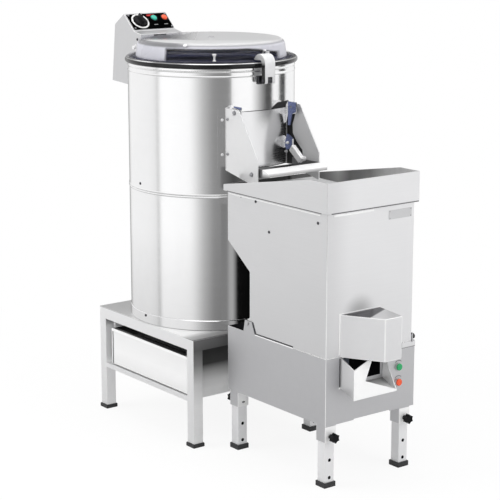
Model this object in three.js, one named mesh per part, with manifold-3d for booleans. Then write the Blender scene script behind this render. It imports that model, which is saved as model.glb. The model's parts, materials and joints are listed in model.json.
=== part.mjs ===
// Drum potato peeler on a filter-drawer stand, with the chip cutter that stands under its outlet.
// Units are millimetres, +Z is up, +X runs from the drum to the chip cutter.
// The shapes are drawn about the drum's axis; the last lines move the set so that its origin is
// the middle of its footprint on the floor.
import * as THREE from 'three';
import { mergeVertices } from 'three/addons/utils/BufferGeometryUtils.js';
import Module from 'manifold-3d';

const wasm = await Module();
wasm.setup();

// Clearances and counts
const gap = 0.3;
const overrun = 6;
const weld = 0.2;
const drumSides = 32;
const wheelSides = 16;
const tubeSides = 16;
const smallSides = 10;

// Two sizes that the rest follows: the drum's radius, and the height of its belt drive
const drumRadius = 248;
const driveHeight = 630;
const standMargin = 2;

// Stand
const stand = {
  side: 2 * (drumRadius + standMargin), height: 326, tube: 32, wall: 2, railBottom: 136, railTop: 150,
  sheet: 3, footHeight: 12, footOut: 3.8,
};

// Filter drawer and the box that it slides in
const drawer = {
  frontRoom: 8, sideRoom: 22, backRoom: 22, railRoom: 3, topRoom: 26, sheet: 3, lip: 12,
  runner: 12, strainerHeight: 77, slot: 10, slotPitch: 34,
};

// Drum
const drum = {
  radius: drumRadius, wall: 3, baseHeight: 30, bead: 1.6, beadHeight: 6, upperBeadDrop: 20,
  lowerBeadDrop: 34, rimHeight: 17, rimRound: 5, rimCap: 4.5,
  past: { baseRadius: 2, rimRadius: 8.3, rimInner: -4.5 },
  over: { seam: 95.5, top: 472.5 },
};

// Rough inner wall of the peeling chamber
const liner = {
  ribPitch: 18, ribDepth: 2.6, ribs: 5,
  past: { radius: -10 },
  over: { bottom: 140, top: 458 },
};

// Turning disc, its shaft and the belt drive
const disc = {
  thickness: 20, wave: 24, waveLength: 186, waveSink: 8, waveFlatShare: 0.7, cap: 34, capHeight: 16,
  past: { radius: -17 },
  over: { bottom: 146 },
};
const shaft = {
  radius: 14,
  over: { bottom: -18 },
};
const pan = {
  fall: 18, wall: 3, hub: 34, pipeRadius: 30, pipeWall: 2.5,
  over: { top: 132 },
};
const bearing = {
  radius: 42, bore: 14.6, flange: 70, flangeHeight: 8,
  over: { bottom: 34 },
};
const belt = { width: 16, thickness: 7, height: driveHeight, seat: 0.9, arcSteps: 10 };
const drivenPulley = { radius: 92, width: 26, web: 8, hub: 26 };
const motorPulley = { radius: 34 };
const motor = {
  x: 0, radius: 74, wallRoom: 11, standRoom: 72, bridgeRoom: 6, shaft: 12, fins: 12,
  finDepth: 5, finThickness: 3.2, fan: 37, head: 25, flange: 12,
};
const bridge = {
  halfWidth: 80, thickness: 8, shaftHole: 22,
  over: { bottom: -36 },
};

// Lid, its hinge and its hook
const lid = {
  flangeThickness: 4, height: 52, wall: 4, round: 22, plug: 9, plugHeight: 4, notchMargin: 40,
  shoulderFrom: 20, shoulderTo: 75,
  past: { flange: -2, wallRadius: -24, topRadius: -48 },
};
const lidHinge = {
  rise: 9, rod: 4, bore: 4.3, knuckle: 9, earInner: 84, earOuter: 92, armInner: 95, armOuter: 103,
  armReach: 46, armThickness: 5, earDepth: 26,
  behind: { x: 4 },
};
const hook = {
  width: 38, thickness: 17, pin: 5, pinEnd: 1.5, bore: 5.3, padWidth: 34, padHeight: 24, padThickness: 6,
  lug: 14, forkRise: 10,
  past: { inner: 20, tip: -17 },
  over: { bottom: 417, top: 501, tipBottom: 482, pivotZ: 426 },
};

// Control console behind the drum
const desk = {
  halfWidth: 78, bottomFall: 12, slopeAngle: 42.1, slopeLength: 76, sheet: 2.5, accessHalf: 50,
  behind: { backBottom: 176, backTop: 156, slopeX: 76.3, neckX: 10.8 },
  over: { bottom: 369, shoulder: 547, slopeZ: 555.7, neckZ: 523 },
};
const panel = { width: 145.4, height: 63.4, thickness: 2 };
const dial = {
  y: -37, ring: 30, ringThickness: 1.2, knob: 20, skirt: 22, skirtHeight: 4, knobHeight: 17, grip: 9,
  spindle: 4, spindleLength: 14,
};
const pushButton = {
  startY: 18, stopY: 57, across: -10, radius: 10.2, bezel: 13.6, bezelHeight: 3, proud: 3.5, stem: 12,
  bore: 10.6,
};

// Outlet of the drum
const outlet = {
  halfWidth: 111, plate: 3, flange: 22, windowHalfWidth: 96,
  past: { topX: 36, kneeX: 124, heelX: -36 },
  over: { top: 350, kneeZ: 220, noseZ: 141, heelZ: 174, windowBottom: 176, windowTop: 330 },
};
const door = {
  thickness: 3, halfWidth: 102, pin: 4, bore: 4.4,
  past: { inner: 0.6, hingeX: 9 },
  over: { bottom: 177, top: 338, hingeZ: 341 },
};
const doorArm = {
  y: 98, thickness: 3, boss: 7,
  past: { frontX: 33 },
  over: { top: 356, bottom: 324, tailZ: 293 },
};
const lever = {
  y: 84, thickness: 5, plateTop: 27, plateRear: 14, plateFront: 20, plateFoot: 22, armLength: 76,
  armWidth: 16, armAngle: -37, grip: 7.5, gripLength: 19, lug: 6, lugDepth: 20, pin: 4, bore: 4.4,
  past: { pivotX: 14 },
  over: { pivotZ: 238 },
};
const tray = {
  halfWidth: 106, sheet: 3,
  past: { back: 10, front: 138, lipFront: 166 },
  over: { floor: 170, wallTop: 194, lipTop: 185, lipBottom: 176 },
};

// Chip cutter
const cutter = {
  left: -157, right: 151, baseRight: 165.5, baseBottom: 175.5, baseTop: 364, sheet: 3,
  skirtLeft: -56, skirtRight: 76,
  past: { back: 44, front: 481, baseBack: 43, notchX: 146 },
  over: { bodyTop: 128, notchTop: -14, notchZ: -89 },
};
const hopper = {
  overhang: 8.5, overhangRight: 11.5, levelShare: 0.17, sheet: 3, throatHalf: 100, throatDrop: 120,
  past: { throatBack: 204, throatFront: 452 },
  over: { top: 211.5, backTop: 146 },
};
const hood = {
  backLeft: -108, backRight: 33, frontLeft: -45, frontRight: 15, top: 480, bottom: 362, sheet: 3,
  past: { front: 590 },
};
const scoop = {
  left: -106, right: 49, sheet: 3, backTop: 366, frontTop: 336, frontBottom: 253, backBottom: 276,
  rise: 356, riseY: -58, mouthTopY: -44, mouthTop: 353, mouthLowY: -65, mouthLow: 301, lipHeight: 4,
  rightTop: 352,
  past: { front: 537 },
};
const leg = {
  tube: 31, insetFar: 10, insetRight: 15.5, socket: 38, socketDrop: 46, topZ: 262, footHeight: 14,
  footOut: 3.8, hole: 4, holePitch: 50, firstHole: 27,
};
const star = { radius: 14, lobes: 6, lobe: 5, thickness: 14, neck: 7, neckLength: 9, stem: 4, z: 145 };
const rotor = {
  z: 520, radius: 92, vane: 6, vanes: 6, hub: 26, shaft: 14, length: 236,
  past: { x: 312 },
};
const duct = { radius: 96, wall: 3, halfLength: 124, endPlate: 5, bore: 15 };
const knives = {
  depth: 14, frame: 9, blade: 1.6, pitch: 15, halfWidth: 60, bottom: 452, top: 560,
  past: { front: 468 },
};
const gearmotor = {
  z: 258, radius: 62, length: 210, boxLength: 78, boxHalf: 58, feet: 6,
  past: { x: 222 },
};
const cutterButton = {
  y: 104.5, startZ: 297.5, stopZ: 253.5, radius: 10, bezel: 11.8, bezelHeight: 4, proud: 4, travel: 3.3,
  stem: 6.3, stemLength: 9, clearance: 0.4,
};
const ear = {
  z: 391, top: 398, slit: 5, bolt: 4, head: 7, headHeight: 4, slitHeight: 5,
  past: { x: 136, rearFoot: 117, rearTop: 124, frontTop: 156, frontFoot: 170, slitEnd: 341 },
};
const sideLatch = {
  z: 375, halfWidth: 11, rise: 12, bore: 3.4, knob: 8, knobLength: 10, stem: 3,
  past: { x: 474 },
};

// Places held as distances past the drum's wall, behind it or over its belt drive become plain places
const moved = (places, start, sign = 1) => Object.fromEntries(
  Object.entries(places ?? {}).map(([name, distance]) => [name, sign * (start + distance)]));
const placedTables = [
  drum, liner, disc, shaft, pan, bearing, motor, bridge, lid, lidHinge, hook, desk, outlet, door,
  doorArm, lever, tray, cutter, hopper, hood, scoop, rotor, knives, gearmotor, ear, sideLatch,
];
placedTables.forEach((table) => Object.assign(
  table, moved(table.past, drumRadius), moved(table.behind, drumRadius, -1),
  moved(table.over, driveHeight)));

// Places that follow two pieces at once, with the room left between them
Object.assign(drawer, {
  halfWidth: stand.side / 2 - stand.tube - drawer.sideRoom,
  front: stand.side / 2 - drawer.frontRoom,
  back: stand.side / 2 - stand.tube - drawer.backRoom,
  bottom: stand.railTop + drawer.railRoom,
  top: stand.height - stand.sheet - stand.tube - drawer.topRoom,
});
Object.assign(pan, { pipeX: -drum.radius / 2, pipeY: -drum.radius / 2 });
Object.assign(motor, {
  y: drum.radius - drum.wall - motor.wallRoom - motor.radius,
  bottom: stand.height + motor.standRoom,
  height: bridge.bottom - motor.bridgeRoom - stand.height - motor.standRoom,
});

const colours = {
  steel: ['#c9cbce', 0.28, 0.9], satin: ['#c4c5c7', 0.42, 0.85], chrome: ['#8d9096', 0.15, 1],
  dark: ['#1b1c1e', 0.5, 0.1], liner: ['#1f2742', 0.75, 0], disc: ['#3b4252', 0.85, 0],
  clear: ['#d9dcea', 0.12, 0], cast: ['#b9bbbe', 0.45, 0.7], green: ['#1faf7c', 0.35, 0],
  red: ['#ee5a2d', 0.35, 0], white: ['#f0f0ee', 0.5, 0], iron: ['#5d6470', 0.6, 0.4],
};

const degrees = THREE.MathUtils.degToRad;

// A geometry with only merged positions, its faces turned outwards
function closed(geometry) {
  const bare = geometry.clone();
  bare.deleteAttribute('normal');
  bare.deleteAttribute('uv');
  const merged = mergeVertices(bare, 1e-4);
  const p = merged.attributes.position;
  const faces = merged.index.array;
  let volume = 0;
  const [a, b, c] = [new THREE.Vector3(), new THREE.Vector3(), new THREE.Vector3()];
  const kept = [];
  for (let i = 0; i < faces.length; i += 3) {
    const [i0, i1, i2] = [faces[i], faces[i + 1], faces[i + 2]];
    if (i0 === i1 || i1 === i2 || i2 === i0) continue;
    kept.push(i0, i1, i2);
    a.fromBufferAttribute(p, i0);
    b.fromBufferAttribute(p, i1);
    c.fromBufferAttribute(p, i2);
    volume += a.dot(b.cross(c));
  }
  if (volume < 0) {
    for (let i = 0; i < kept.length; i += 3) [kept[i + 1], kept[i + 2]] = [kept[i + 2], kept[i + 1]];
  }
  merged.setIndex(kept);
  return merged;
}

function toSolid(geometry) {
  const body = closed(geometry);
  return new wasm.Manifold(new wasm.Mesh({
    numProp: 3,
    vertProperties: new Float32Array(body.attributes.position.array),
    triVerts: new Uint32Array(body.index.array),
  }));
}

function fromSolid(solid) {
  const mesh = solid.getMesh();
  const geometry = new THREE.BufferGeometry();
  geometry.setAttribute('position', new THREE.BufferAttribute(new Float32Array(mesh.vertProperties), 3));
  geometry.setIndex([...mesh.triVerts]);
  return geometry;
}

function join(...pieces) {
  return fromSolid(pieces.map(toSolid).reduce((sum, piece) => sum.add(piece)));
}

function cut(piece, ...tools) {
  return fromSolid(tools.map(toSolid).reduce((rest, tool) => rest.subtract(tool), toSolid(piece)));
}

function overlap(one, other) {
  return fromSolid(toSolid(one).intersect(toSolid(other)));
}

// Basic forms; their limits may be given in either order
function block(x0, x1, y0, y1, z0, z1) {
  const geometry = new THREE.BoxGeometry(Math.abs(x1 - x0), Math.abs(y1 - y0), Math.abs(z1 - z0));
  return geometry.translate((x0 + x1) / 2, (y0 + y1) / 2, (z0 + z1) / 2);
}

function outlineOf(points) {
  return new THREE.Shape(points.map(([u, v]) => new THREE.Vector2(u, v)));
}

function extrude(shape, depth, curveSegments = smallSides) {
  return new THREE.ExtrudeGeometry(shape, { depth, bevelEnabled: false, curveSegments });
}

// A plan outline (x, y) raised from z0 to z1
function raise(points, z0, z1) {
  return extrude(outlineOf(points), z1 - z0).translate(0, 0, z0);
}

// A side outline (x, z) pulled from y0 to y1
function pull(points, y0, y1) {
  return pullShape(outlineOf(points), y0, y1);
}

function pullShape(shape, y0, y1) {
  return extrude(shape, Math.abs(y1 - y0)).rotateX(Math.PI / 2).translate(0, Math.max(y0, y1), 0);
}

// A front outline (y, z) pulled from x0 to x1
function face(points, x0, x1) {
  return extrude(outlineOf(points), x1 - x0).rotateX(Math.PI / 2).rotateZ(Math.PI / 2).translate(x0, 0, 0);
}

function rod(radius, z0, z1, sides = tubeSides) {
  const bar = new THREE.CylinderGeometry(radius, radius, z1 - z0, sides);
  return bar.rotateX(Math.PI / 2).translate(0, 0, (z0 + z1) / 2);
}

function rodAlongY(radius, x, z, y0, y1, sides = smallSides) {
  const length = Math.abs(y1 - y0);
  return new THREE.CylinderGeometry(radius, radius, length, sides).translate(x, (y0 + y1) / 2, z);
}

function rodAlongX(radius, y, z, x0, x1, sides = smallSides) {
  const bar = new THREE.CylinderGeometry(radius, radius, Math.abs(x1 - x0), sides);
  return bar.rotateZ(Math.PI / 2).translate((x0 + x1) / 2, y, z);
}

// A profile of (radius, z) points turned about the drum's axis
function turn(points, sides = drumSides) {
  const profile = points.map(([r, z]) => new THREE.Vector2(r, z));
  if (points[0][0] > 0) profile.push(profile[0].clone());
  return new THREE.LatheGeometry(profile, sides).rotateX(Math.PI / 2);
}

function arcPoints(cx, cz, radius, from, to, steps) {
  return Array.from({ length: steps + 1 }, (_, i) => {
    const angle = degrees(from + (to - from) * i / steps);
    return [cx + radius * Math.cos(angle), cz + radius * Math.sin(angle)];
  });
}

const product = new THREE.Group();
const group = new THREE.Group();
product.add(group);

function add(name, geometry, look, parent = group) {
  const [color, roughness, metalness] = colours[look];
  const body = closed(geometry);
  body.computeVertexNormals();
  const mesh = new THREE.Mesh(body, new THREE.MeshStandardMaterial({ color, roughness, metalness }));
  mesh.name = name;
  parent.add(mesh);
  return mesh;
}

// Stand: four square legs, a top frame, lower rails and a sheet top
function addStand() {
  const half = stand.side / 2;
  const inner = half - stand.tube;
  const frameTop = stand.height - stand.sheet;
  const legAt = (sx, sy) => block(
    sx * half, sx * inner, sy * half, sy * inner, stand.footHeight, frameTop);
  const frame = (z0, z1) => cut(
    block(-half, half, -half, half, z0, z1),
    block(-inner, inner, -inner, inner, z0 - overrun, z1 + overrun));
  const corners = [[-1, -1], [1, -1], [1, 1], [-1, 1]];
  const legs = corners.map(([sx, sy]) => legAt(sx, sy));
  const rails = [-1, 1].map((s) => block(
    -inner - weld, inner + weld, s * half, s * inner, stand.railBottom, stand.railTop));
  const bore = stand.tube / 2 - stand.wall;
  const centre = half - stand.tube / 2;
  const legBore = block(
    -bore, bore, -bore, bore, stand.footHeight - overrun, frameTop - stand.tube);
  const bores = corners.map(([sx, sy]) => legBore.clone().translate(sx * centre, sy * centre, 0));
  add('stand_frame', cut(join(...legs, frame(frameTop - stand.tube, frameTop), ...rails), ...bores),
    'steel');

  const pipeHole = rod(pan.pipeRadius + gap + gap, frameTop, stand.height + overrun)
    .translate(pan.pipeX, pan.pipeY, -overrun / 2);
  add('stand_top', cut(block(-half, half, -half, half, frameTop + gap, stand.height), pipeHole), 'steel');

  const names = ['front_left', 'front_right', 'rear_right', 'rear_left'];
  corners.forEach(([sx, sy], i) => {
    const r = stand.tube / 2 + stand.footOut;
    const foot = block(-r, r, -r, r, 0, stand.footHeight - gap).translate(sx * centre, sy * centre, 0);
    add(`stand_foot_${names[i]}`, foot, 'dark');
  });
}

// Filter drawer: an open box with a folded lip, over a slotted strainer tray
function addDrawer() {
  const { halfWidth: w, front, back, bottom, top, sheet } = drawer;
  const shell = cut(
    block(-w, w, -front, back, bottom, top),
    block(-w + sheet, w - sheet, -front + sheet, back - sheet, bottom + sheet, top + overrun));
  const lip = block(-w, w, -front, -front + drawer.lip, top - sheet, top);
  add('filter_drawer', join(shell, lip), 'steel');

  const inner = w - sheet - gap;
  const deck = bottom + drawer.strainerHeight;
  const sheetPlate = block(-inner, inner, -front + sheet + gap, back - sheet - gap, deck, deck + sheet);
  const legs = [-inner + sheet, inner - sheet].map((x) => block(
    x - sheet, x + sheet, -front + sheet + drawer.lip, back - sheet - drawer.lip,
    bottom + sheet + gap, deck + weld));
  const rows = [];
  const reach = inner - drawer.slotPitch;
  for (let y = -reach; y <= reach; y += drawer.slotPitch) {
    rows.push(block(
      -reach, reach, y - drawer.slot / 2, y + drawer.slot / 2, deck - overrun, deck + overrun));
  }
  add('filter_strainer', cut(join(sheetPlate, ...legs), ...rows), 'satin');

  const bay = stand.side / 2 - stand.tube - gap;
  const roof = stand.height - stand.sheet - stand.tube - gap;
  const walls = cut(
    block(-bay, bay, -bay, bay, stand.railBottom, roof),
    block(
      -bay + sheet, bay - sheet, -bay - overrun, bay - sheet,
      stand.railBottom - overrun, roof + overrun));
  const ledges = [-1, 1].map((s) => block(
    s * (w - drawer.runner), s * (bay - weld), -bay + drawer.runner, back,
    bottom - gap - sheet, bottom - gap));
  add('drawer_bay', join(walls, ...ledges), 'satin');
}

// Drum: base ring, lower and upper shells, rolled rim
function beadAround(z, radius) {
  const half = drum.beadHeight / 2;
  return [[radius, z - half], [radius + drum.bead, z], [radius, z + half]];
}

function windowOpening(reach) {
  return block(
    0, reach + overrun, -outlet.windowHalfWidth, outlet.windowHalfWidth,
    outlet.windowBottom, outlet.windowTop);
}

function addDrum() {
  const { radius, wall, baseRadius, baseHeight, seam, top } = drum;
  const floor = stand.height + gap;
  const baseTop = stand.height + baseHeight;
  const ringInner = radius - wall - wall;
  add('base_ring', turn([
    [ringInner, floor], [baseRadius, floor], [baseRadius, baseTop], [ringInner, baseTop]]), 'steel');

  const lowerTop = seam - gap;
  add('drum_lower', turn([
    [radius - wall, baseTop + gap], [radius, baseTop + gap],
    ...beadAround(lowerTop - drum.beadHeight / 2, radius),
    [radius - wall, lowerTop]]), 'steel');

  const window = windowOpening(radius);
  const upper = turn([
    [radius - wall, seam], ...beadAround(seam + drum.beadHeight / 2, radius),
    ...beadAround(top - drum.lowerBeadDrop, radius), ...beadAround(top - drum.upperBeadDrop, radius),
    [radius, top], [radius - wall, top]]);
  add('drum_upper', cut(upper, window), 'steel');

  const rimTop = top + drum.rimCap;
  const rimBottom = rimTop - drum.rimHeight;
  const outer = drum.rimRadius;
  const round = drum.rimRound;
  const ring = turn([
    [drum.rimInner, top - round], [radius - wall - gap, top - round], [radius - wall - gap, top + gap],
    [radius + gap, top + gap], [radius + gap, rimBottom],
    ...arcPoints(outer - round, rimBottom + round, round, -90, 0, 1),
    ...arcPoints(outer - round, rimTop - round, round, 0, 90, 1), [drum.rimInner, rimTop]]);
  const { earInner, earOuter, x, rise, knuckle, bore, earDepth } = lidHinge;
  const pivotZ = rimTop + rise;
  const ears = [-1, 1].map((s) => {
    const y0 = Math.min(s * earInner, s * earOuter);
    const y1 = Math.max(s * earInner, s * earOuter);
    const web = pull([
      [x - knuckle, pivotZ], [x - knuckle, rimTop - drum.rimHeight], [x + earDepth, rimBottom],
      [x + earDepth, rimTop - weld], [x + earDepth / 2, rimTop - weld], [x + knuckle, pivotZ]], y0, y1);
    const eye = rodAlongY(knuckle, x, pivotZ, y0, y1);
    return cut(join(web, eye), rodAlongY(bore, x, pivotZ, y0 - overrun, y1 + overrun));
  });
  const drumSpace = turn([[0, 0], [radius + gap, 0], [radius + gap, top + gap], [0, top + gap]]);
  add('rim_ring', join(ring, ...ears.map((earPiece) => cut(earPiece, drumSpace))), 'chrome');
}

// Rough liner with horizontal ribs near its top, cut by the outlet window
function addLiner() {
  const outer = drum.radius - drum.wall - gap;
  const points = [[outer, liner.bottom], [outer, liner.top]];
  for (let i = 0; i < liner.ribs; i += 1) {
    const z = liner.top - i * liner.ribPitch;
    points.push([liner.radius + liner.ribDepth, z], [liner.radius, z - liner.ribPitch / 2]);
  }
  points.push([liner.radius, liner.bottom]);
  const window = windowOpening(outer);
  add('abrasive_liner', cut(turn(points), window), 'liner');
}

// Peeling disc with three radial waves, on the main shaft with its pulley
function addDisc() {
  const { radius, bottom, thickness, wave, waveLength, cap, capHeight } = disc;
  const top = bottom + thickness;
  const plate = turn([[0, bottom], [radius - thickness / 2, bottom], [radius, top - thickness / 2],
    [radius, top], [0, top]]);
  const waves = [0, 1, 2].map((i) => {
    const hump = new THREE.CylinderGeometry(wave, wave, waveLength, smallSides);
    hump.scale(1, 1, disc.waveFlatShare).rotateZ(Math.PI / 2);
    return hump.translate(waveLength / 2 + cap / 2, 0, top - disc.waveSink).rotateZ(degrees(120 * i));
  });
  const boss = turn([[0, bottom], [cap, bottom], [cap, top + capHeight / 2], [cap / 2, top + capHeight],
    [0, top + capHeight]], tubeSides);
  const under = block(-radius, radius, -radius, radius, bottom - wave - overrun, bottom);
  add('peeling_disc', cut(join(plate, ...waves, boss), under), 'disc');
  add('main_shaft', rod(shaft.radius, shaft.bottom, bottom - gap), 'satin');
  const { hub, width, web } = drivenPulley;
  const inner = shaft.radius + gap;
  const rimInner = drivenPulley.radius - belt.thickness - web;
  const half = width / 2;
  const side = (s) => [
    [inner, s * half], [hub, s * half], [hub, s * web / 2], [rimInner, s * web / 2], [rimInner, s * half]];
  const profile = [...side(-1), ...grooveOf(drivenPulley.radius), ...side(1).reverse()];
  add('driven_pulley', turn(profile, wheelSides).translate(0, 0, belt.height + belt.width / 2), 'iron');
}

// Rim of a pulley with its belt groove, from its lower edge to its upper edge, about the belt's middle
function grooveOf(radius) {
  const half = drivenPulley.width / 2;
  const mouth = belt.width / 2 + gap;
  const floor = mouth - belt.thickness / 3;
  const floorRadius = radius - belt.thickness;
  return [
    [radius, -half], [radius, -mouth], [floorRadius, -floor],
    [floorRadius, floor], [radius, mouth], [radius, half]];
}

// Drain pan falling outwards from its hub, its pipe, and the bearing housing below it
function addPan() {
  const outer = drum.radius - drum.wall - gap;
  const inner = pan.hub;
  const low = pan.top - pan.fall;
  const lip = pan.fall / 2;
  const sheet = turn([
    [inner, pan.top - pan.wall], [outer, low - pan.wall], [outer, low + lip], [outer - pan.wall, low + lip],
    [outer - pan.wall, low], [inner, pan.top]]);
  const above = turn([
    [0, pan.top - weld], [outer, low - weld], [outer, pan.top + overrun], [0, pan.top + overrun]]);
  const pipeBottom = stand.height - stand.sheet - stand.tube + gap;
  const pipe = rod(pan.pipeRadius, pipeBottom, pan.top).translate(pan.pipeX, pan.pipeY, 0);
  const bore = rod(pan.pipeRadius - pan.pipeWall, pipeBottom - overrun, pan.top + overrun)
    .translate(pan.pipeX, pan.pipeY, 0);
  add('drain_pan', cut(join(sheet, cut(pipe, above)), bore), 'satin');

  const hubTop = disc.bottom - gap - gap;
  const slope = pan.fall / (outer - inner);
  const seat = (r) => pan.top - pan.wall - gap - slope * (r - inner);
  const neck = pan.hub - gap;
  add('bearing_housing', turn([
    [bearing.bore, bearing.bottom], [bearing.radius, bearing.bottom],
    [bearing.radius, seat(bearing.flange) - bearing.flangeHeight],
    [bearing.flange, seat(bearing.flange) - bearing.flangeHeight],
    [bearing.flange, seat(bearing.flange)], [neck, seat(neck)],
    [neck, hubTop - bearing.flangeHeight], [shaft.radius + bearing.flangeHeight, hubTop],
    [bearing.bore, hubTop]], tubeSides), 'cast');
}

// Motor under its bridge, the small pulley and the belt round both
function addDrive() {
  const { x, y, radius, bottom, height, finThickness } = motor;
  const top = bottom + height;
  const body = rod(radius - motor.finDepth, bottom, top);
  const fins = Array.from({ length: motor.fins }, (_, i) => block(
    radius - motor.finDepth - overrun, radius, -finThickness / 2, finThickness / 2,
    bottom + motor.fan - weld, top - motor.head).rotateZ(Math.PI * 2 * i / motor.fins));
  const fanCover = rod(radius, bottom, bottom + motor.fan);
  const flange = rod(radius, top - motor.flange, top);
  add('motor', join(body, ...fins, fanCover, flange).translate(x, y, 0), 'iron');

  const { halfWidth, bottom: low, thickness, shaftHole } = bridge;
  const reach = drum.radius - drum.wall - gap;
  const strip = overlap(
    block(-halfWidth, halfWidth, -reach, reach, low, low + thickness),
    rod(reach, low - overrun, low + thickness + overrun, drumSides));
  const hole = rod(shaftHole, low - overrun, low + thickness + overrun).translate(x, y, 0);
  add('motor_bridge', cut(strip, hole), 'steel');
  const middle = belt.height + belt.width / 2;
  const half = drivenPulley.width / 2;
  const wheel = turn([[0, -half], ...grooveOf(motorPulley.radius), [0, half]], wheelSides)
    .translate(0, 0, middle);
  add('motor_pulley', join(wheel, rod(motor.shaft, top + gap, middle)).translate(x, y, 0), 'iron');

  const distance = Math.hypot(x, y);
  const big = drivenPulley.radius - belt.thickness + belt.seat;
  const small = motorPulley.radius - belt.thickness + belt.seat;
  const loop = (extra) => {
    const swing = Math.asin((big - small) / distance);
    const shape = new THREE.Shape();
    shape.absarc(0, 0, big + extra, Math.PI / 2 - swing, Math.PI * 3 / 2 + swing, false);
    shape.absarc(distance, 0, small + extra, -Math.PI / 2 + swing, Math.PI / 2 - swing, false);
    return shape;
  };
  const outer = loop(belt.thickness);
  outer.holes.push(new THREE.Path(loop(0).getPoints(belt.arcSteps)));
  const z0 = belt.height + belt.thickness / 3 + gap;
  const z1 = belt.height + belt.width - belt.thickness / 3 - gap;
  const band = extrude(outer, z1 - z0, belt.arcSteps).rotateZ(Math.atan2(y, x)).translate(0, 0, z0);
  add('drive_belt', band, 'dark');
}

// Domed lid with its flange, hinge straps and rod
function addLid() {
  const seat = drum.top + drum.rimCap + gap;
  const { flange, flangeThickness, wallRadius, topRadius, height, wall, round } = lid;
  const top = seat + height;
  const shoulder = (r, inset) => arcPoints(
    r - round, top - inset - round, round, lid.shoulderFrom, lid.shoulderTo, 2);
  const shell = turn([
    [0, top - wall], ...shoulder(wallRadius - wall - wall, wall).reverse(),
    [wallRadius - wall, seat], [flange, seat], [flange, seat + flangeThickness],
    [wallRadius, seat + flangeThickness], ...shoulder(wallRadius - wall, 0),
    [topRadius - round, top], [0, top]]);
  const clearance = hook.width / 2 + lid.notchMargin;
  const notch = block(wallRadius + wall, flange + overrun, -clearance, clearance, seat - overrun,
    seat + flangeThickness + overrun);
  const plug = rod(lid.plug, top - weld, top + lid.plugHeight, smallSides);
  add('lid_dome', join(cut(shell, notch), plug), 'clear');

  const { x, rise, rod: rodRadius, bore, knuckle, armInner, armOuter, armReach, armThickness } = lidHinge;
  const pivotZ = drum.top + drum.rimCap + rise;
  const armBottom = seat + flangeThickness + gap;
  [['left', -1], ['right', 1]].forEach(([side, s]) => {
    const y0 = Math.min(s * armInner, s * armOuter);
    const y1 = Math.max(s * armInner, s * armOuter);
    const strap = pull([
      [x, armBottom], [x + armReach, armBottom], [x + armReach, armBottom + armThickness],
      [x, pivotZ + knuckle - weld]], y0, y1);
    const eye = rodAlongY(knuckle, x, pivotZ, y0, y1);
    const eyeBore = rodAlongY(bore, x, pivotZ, y0 - overrun, y1 + overrun);
    add(`lid_strap_${side}`, cut(join(strap, eye), eyeBore), 'steel');
  });
  const end = armOuter + bore;
  add('lid_hinge_rod', join(
    rodAlongY(rodRadius, x, pivotZ, -end, end),
    rodAlongY(rodRadius + bore / 2, x, pivotZ, end - weld, end + bore),
    rodAlongY(rodRadius + bore / 2, x, pivotZ, -end - bore, -end + weld)), 'steel');
}

// Hook that folds over the rim, forked over the lug of the pad that carries it
function addHook() {
  const half = hook.width / 2;
  const outerX = hook.inner + hook.thickness;
  const pivotX = hook.inner + hook.thickness / 2;
  const crown = (outerX + hook.tip) / 2;
  const outerR = (outerX - hook.tip) / 2;
  const innerR = hook.inner - crown;
  const crownZ = hook.top - outerR;
  const noseRise = hook.tipBottom - crownZ;
  const shape = new THREE.Shape();
  shape.moveTo(outerX, hook.bottom);
  shape.lineTo(outerX, crownZ);
  shape.absarc(crown, crownZ, outerR, 0, Math.PI - Math.asin(noseRise / outerR), false);
  shape.absarc(crown, crownZ, innerR, Math.PI - Math.asin(noseRise / innerR), 0, true);
  shape.lineTo(hook.inner, hook.bottom);
  const arm = pullShape(shape, -half, half);
  const fork = block(
    hook.inner - overrun, outerX + overrun, -hook.lug / 2 - gap, hook.lug / 2 + gap,
    hook.bottom - overrun, hook.pivotZ + hook.forkRise);
  const bore = rodAlongY(hook.bore, pivotX, hook.pivotZ, -half - overrun, half + overrun);
  add('lid_hook', cut(arm, fork, bore), 'cast');

  const padFace = drum.radius + hook.padThickness;
  const padHalf = hook.padWidth / 2;
  const pad = block(
    drum.radius - drum.wall, padFace, -padHalf, padHalf,
    hook.pivotZ - hook.padHeight / 2, hook.pivotZ + hook.padHeight / 2);
  const lugHalf = hook.lug / 2;
  const rise = hook.thickness / 2;
  const lug = join(
    block(padFace - weld, pivotX, -lugHalf, lugHalf, hook.pivotZ - rise, hook.pivotZ + rise),
    rodAlongY(rise, pivotX, hook.pivotZ, -lugHalf, lugHalf));
  const pin = rodAlongY(hook.pin, pivotX, hook.pivotZ, -half - hook.pinEnd, half + hook.pinEnd);
  const clearRadius = drum.radius + drum.bead + gap;
  const drumSpace = turn([[0, 0], [clearRadius, 0], [clearRadius, drum.top], [0, drum.top]]);
  add('hook_bracket', join(cut(pad, drumSpace), lug, pin), 'steel');
}

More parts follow.
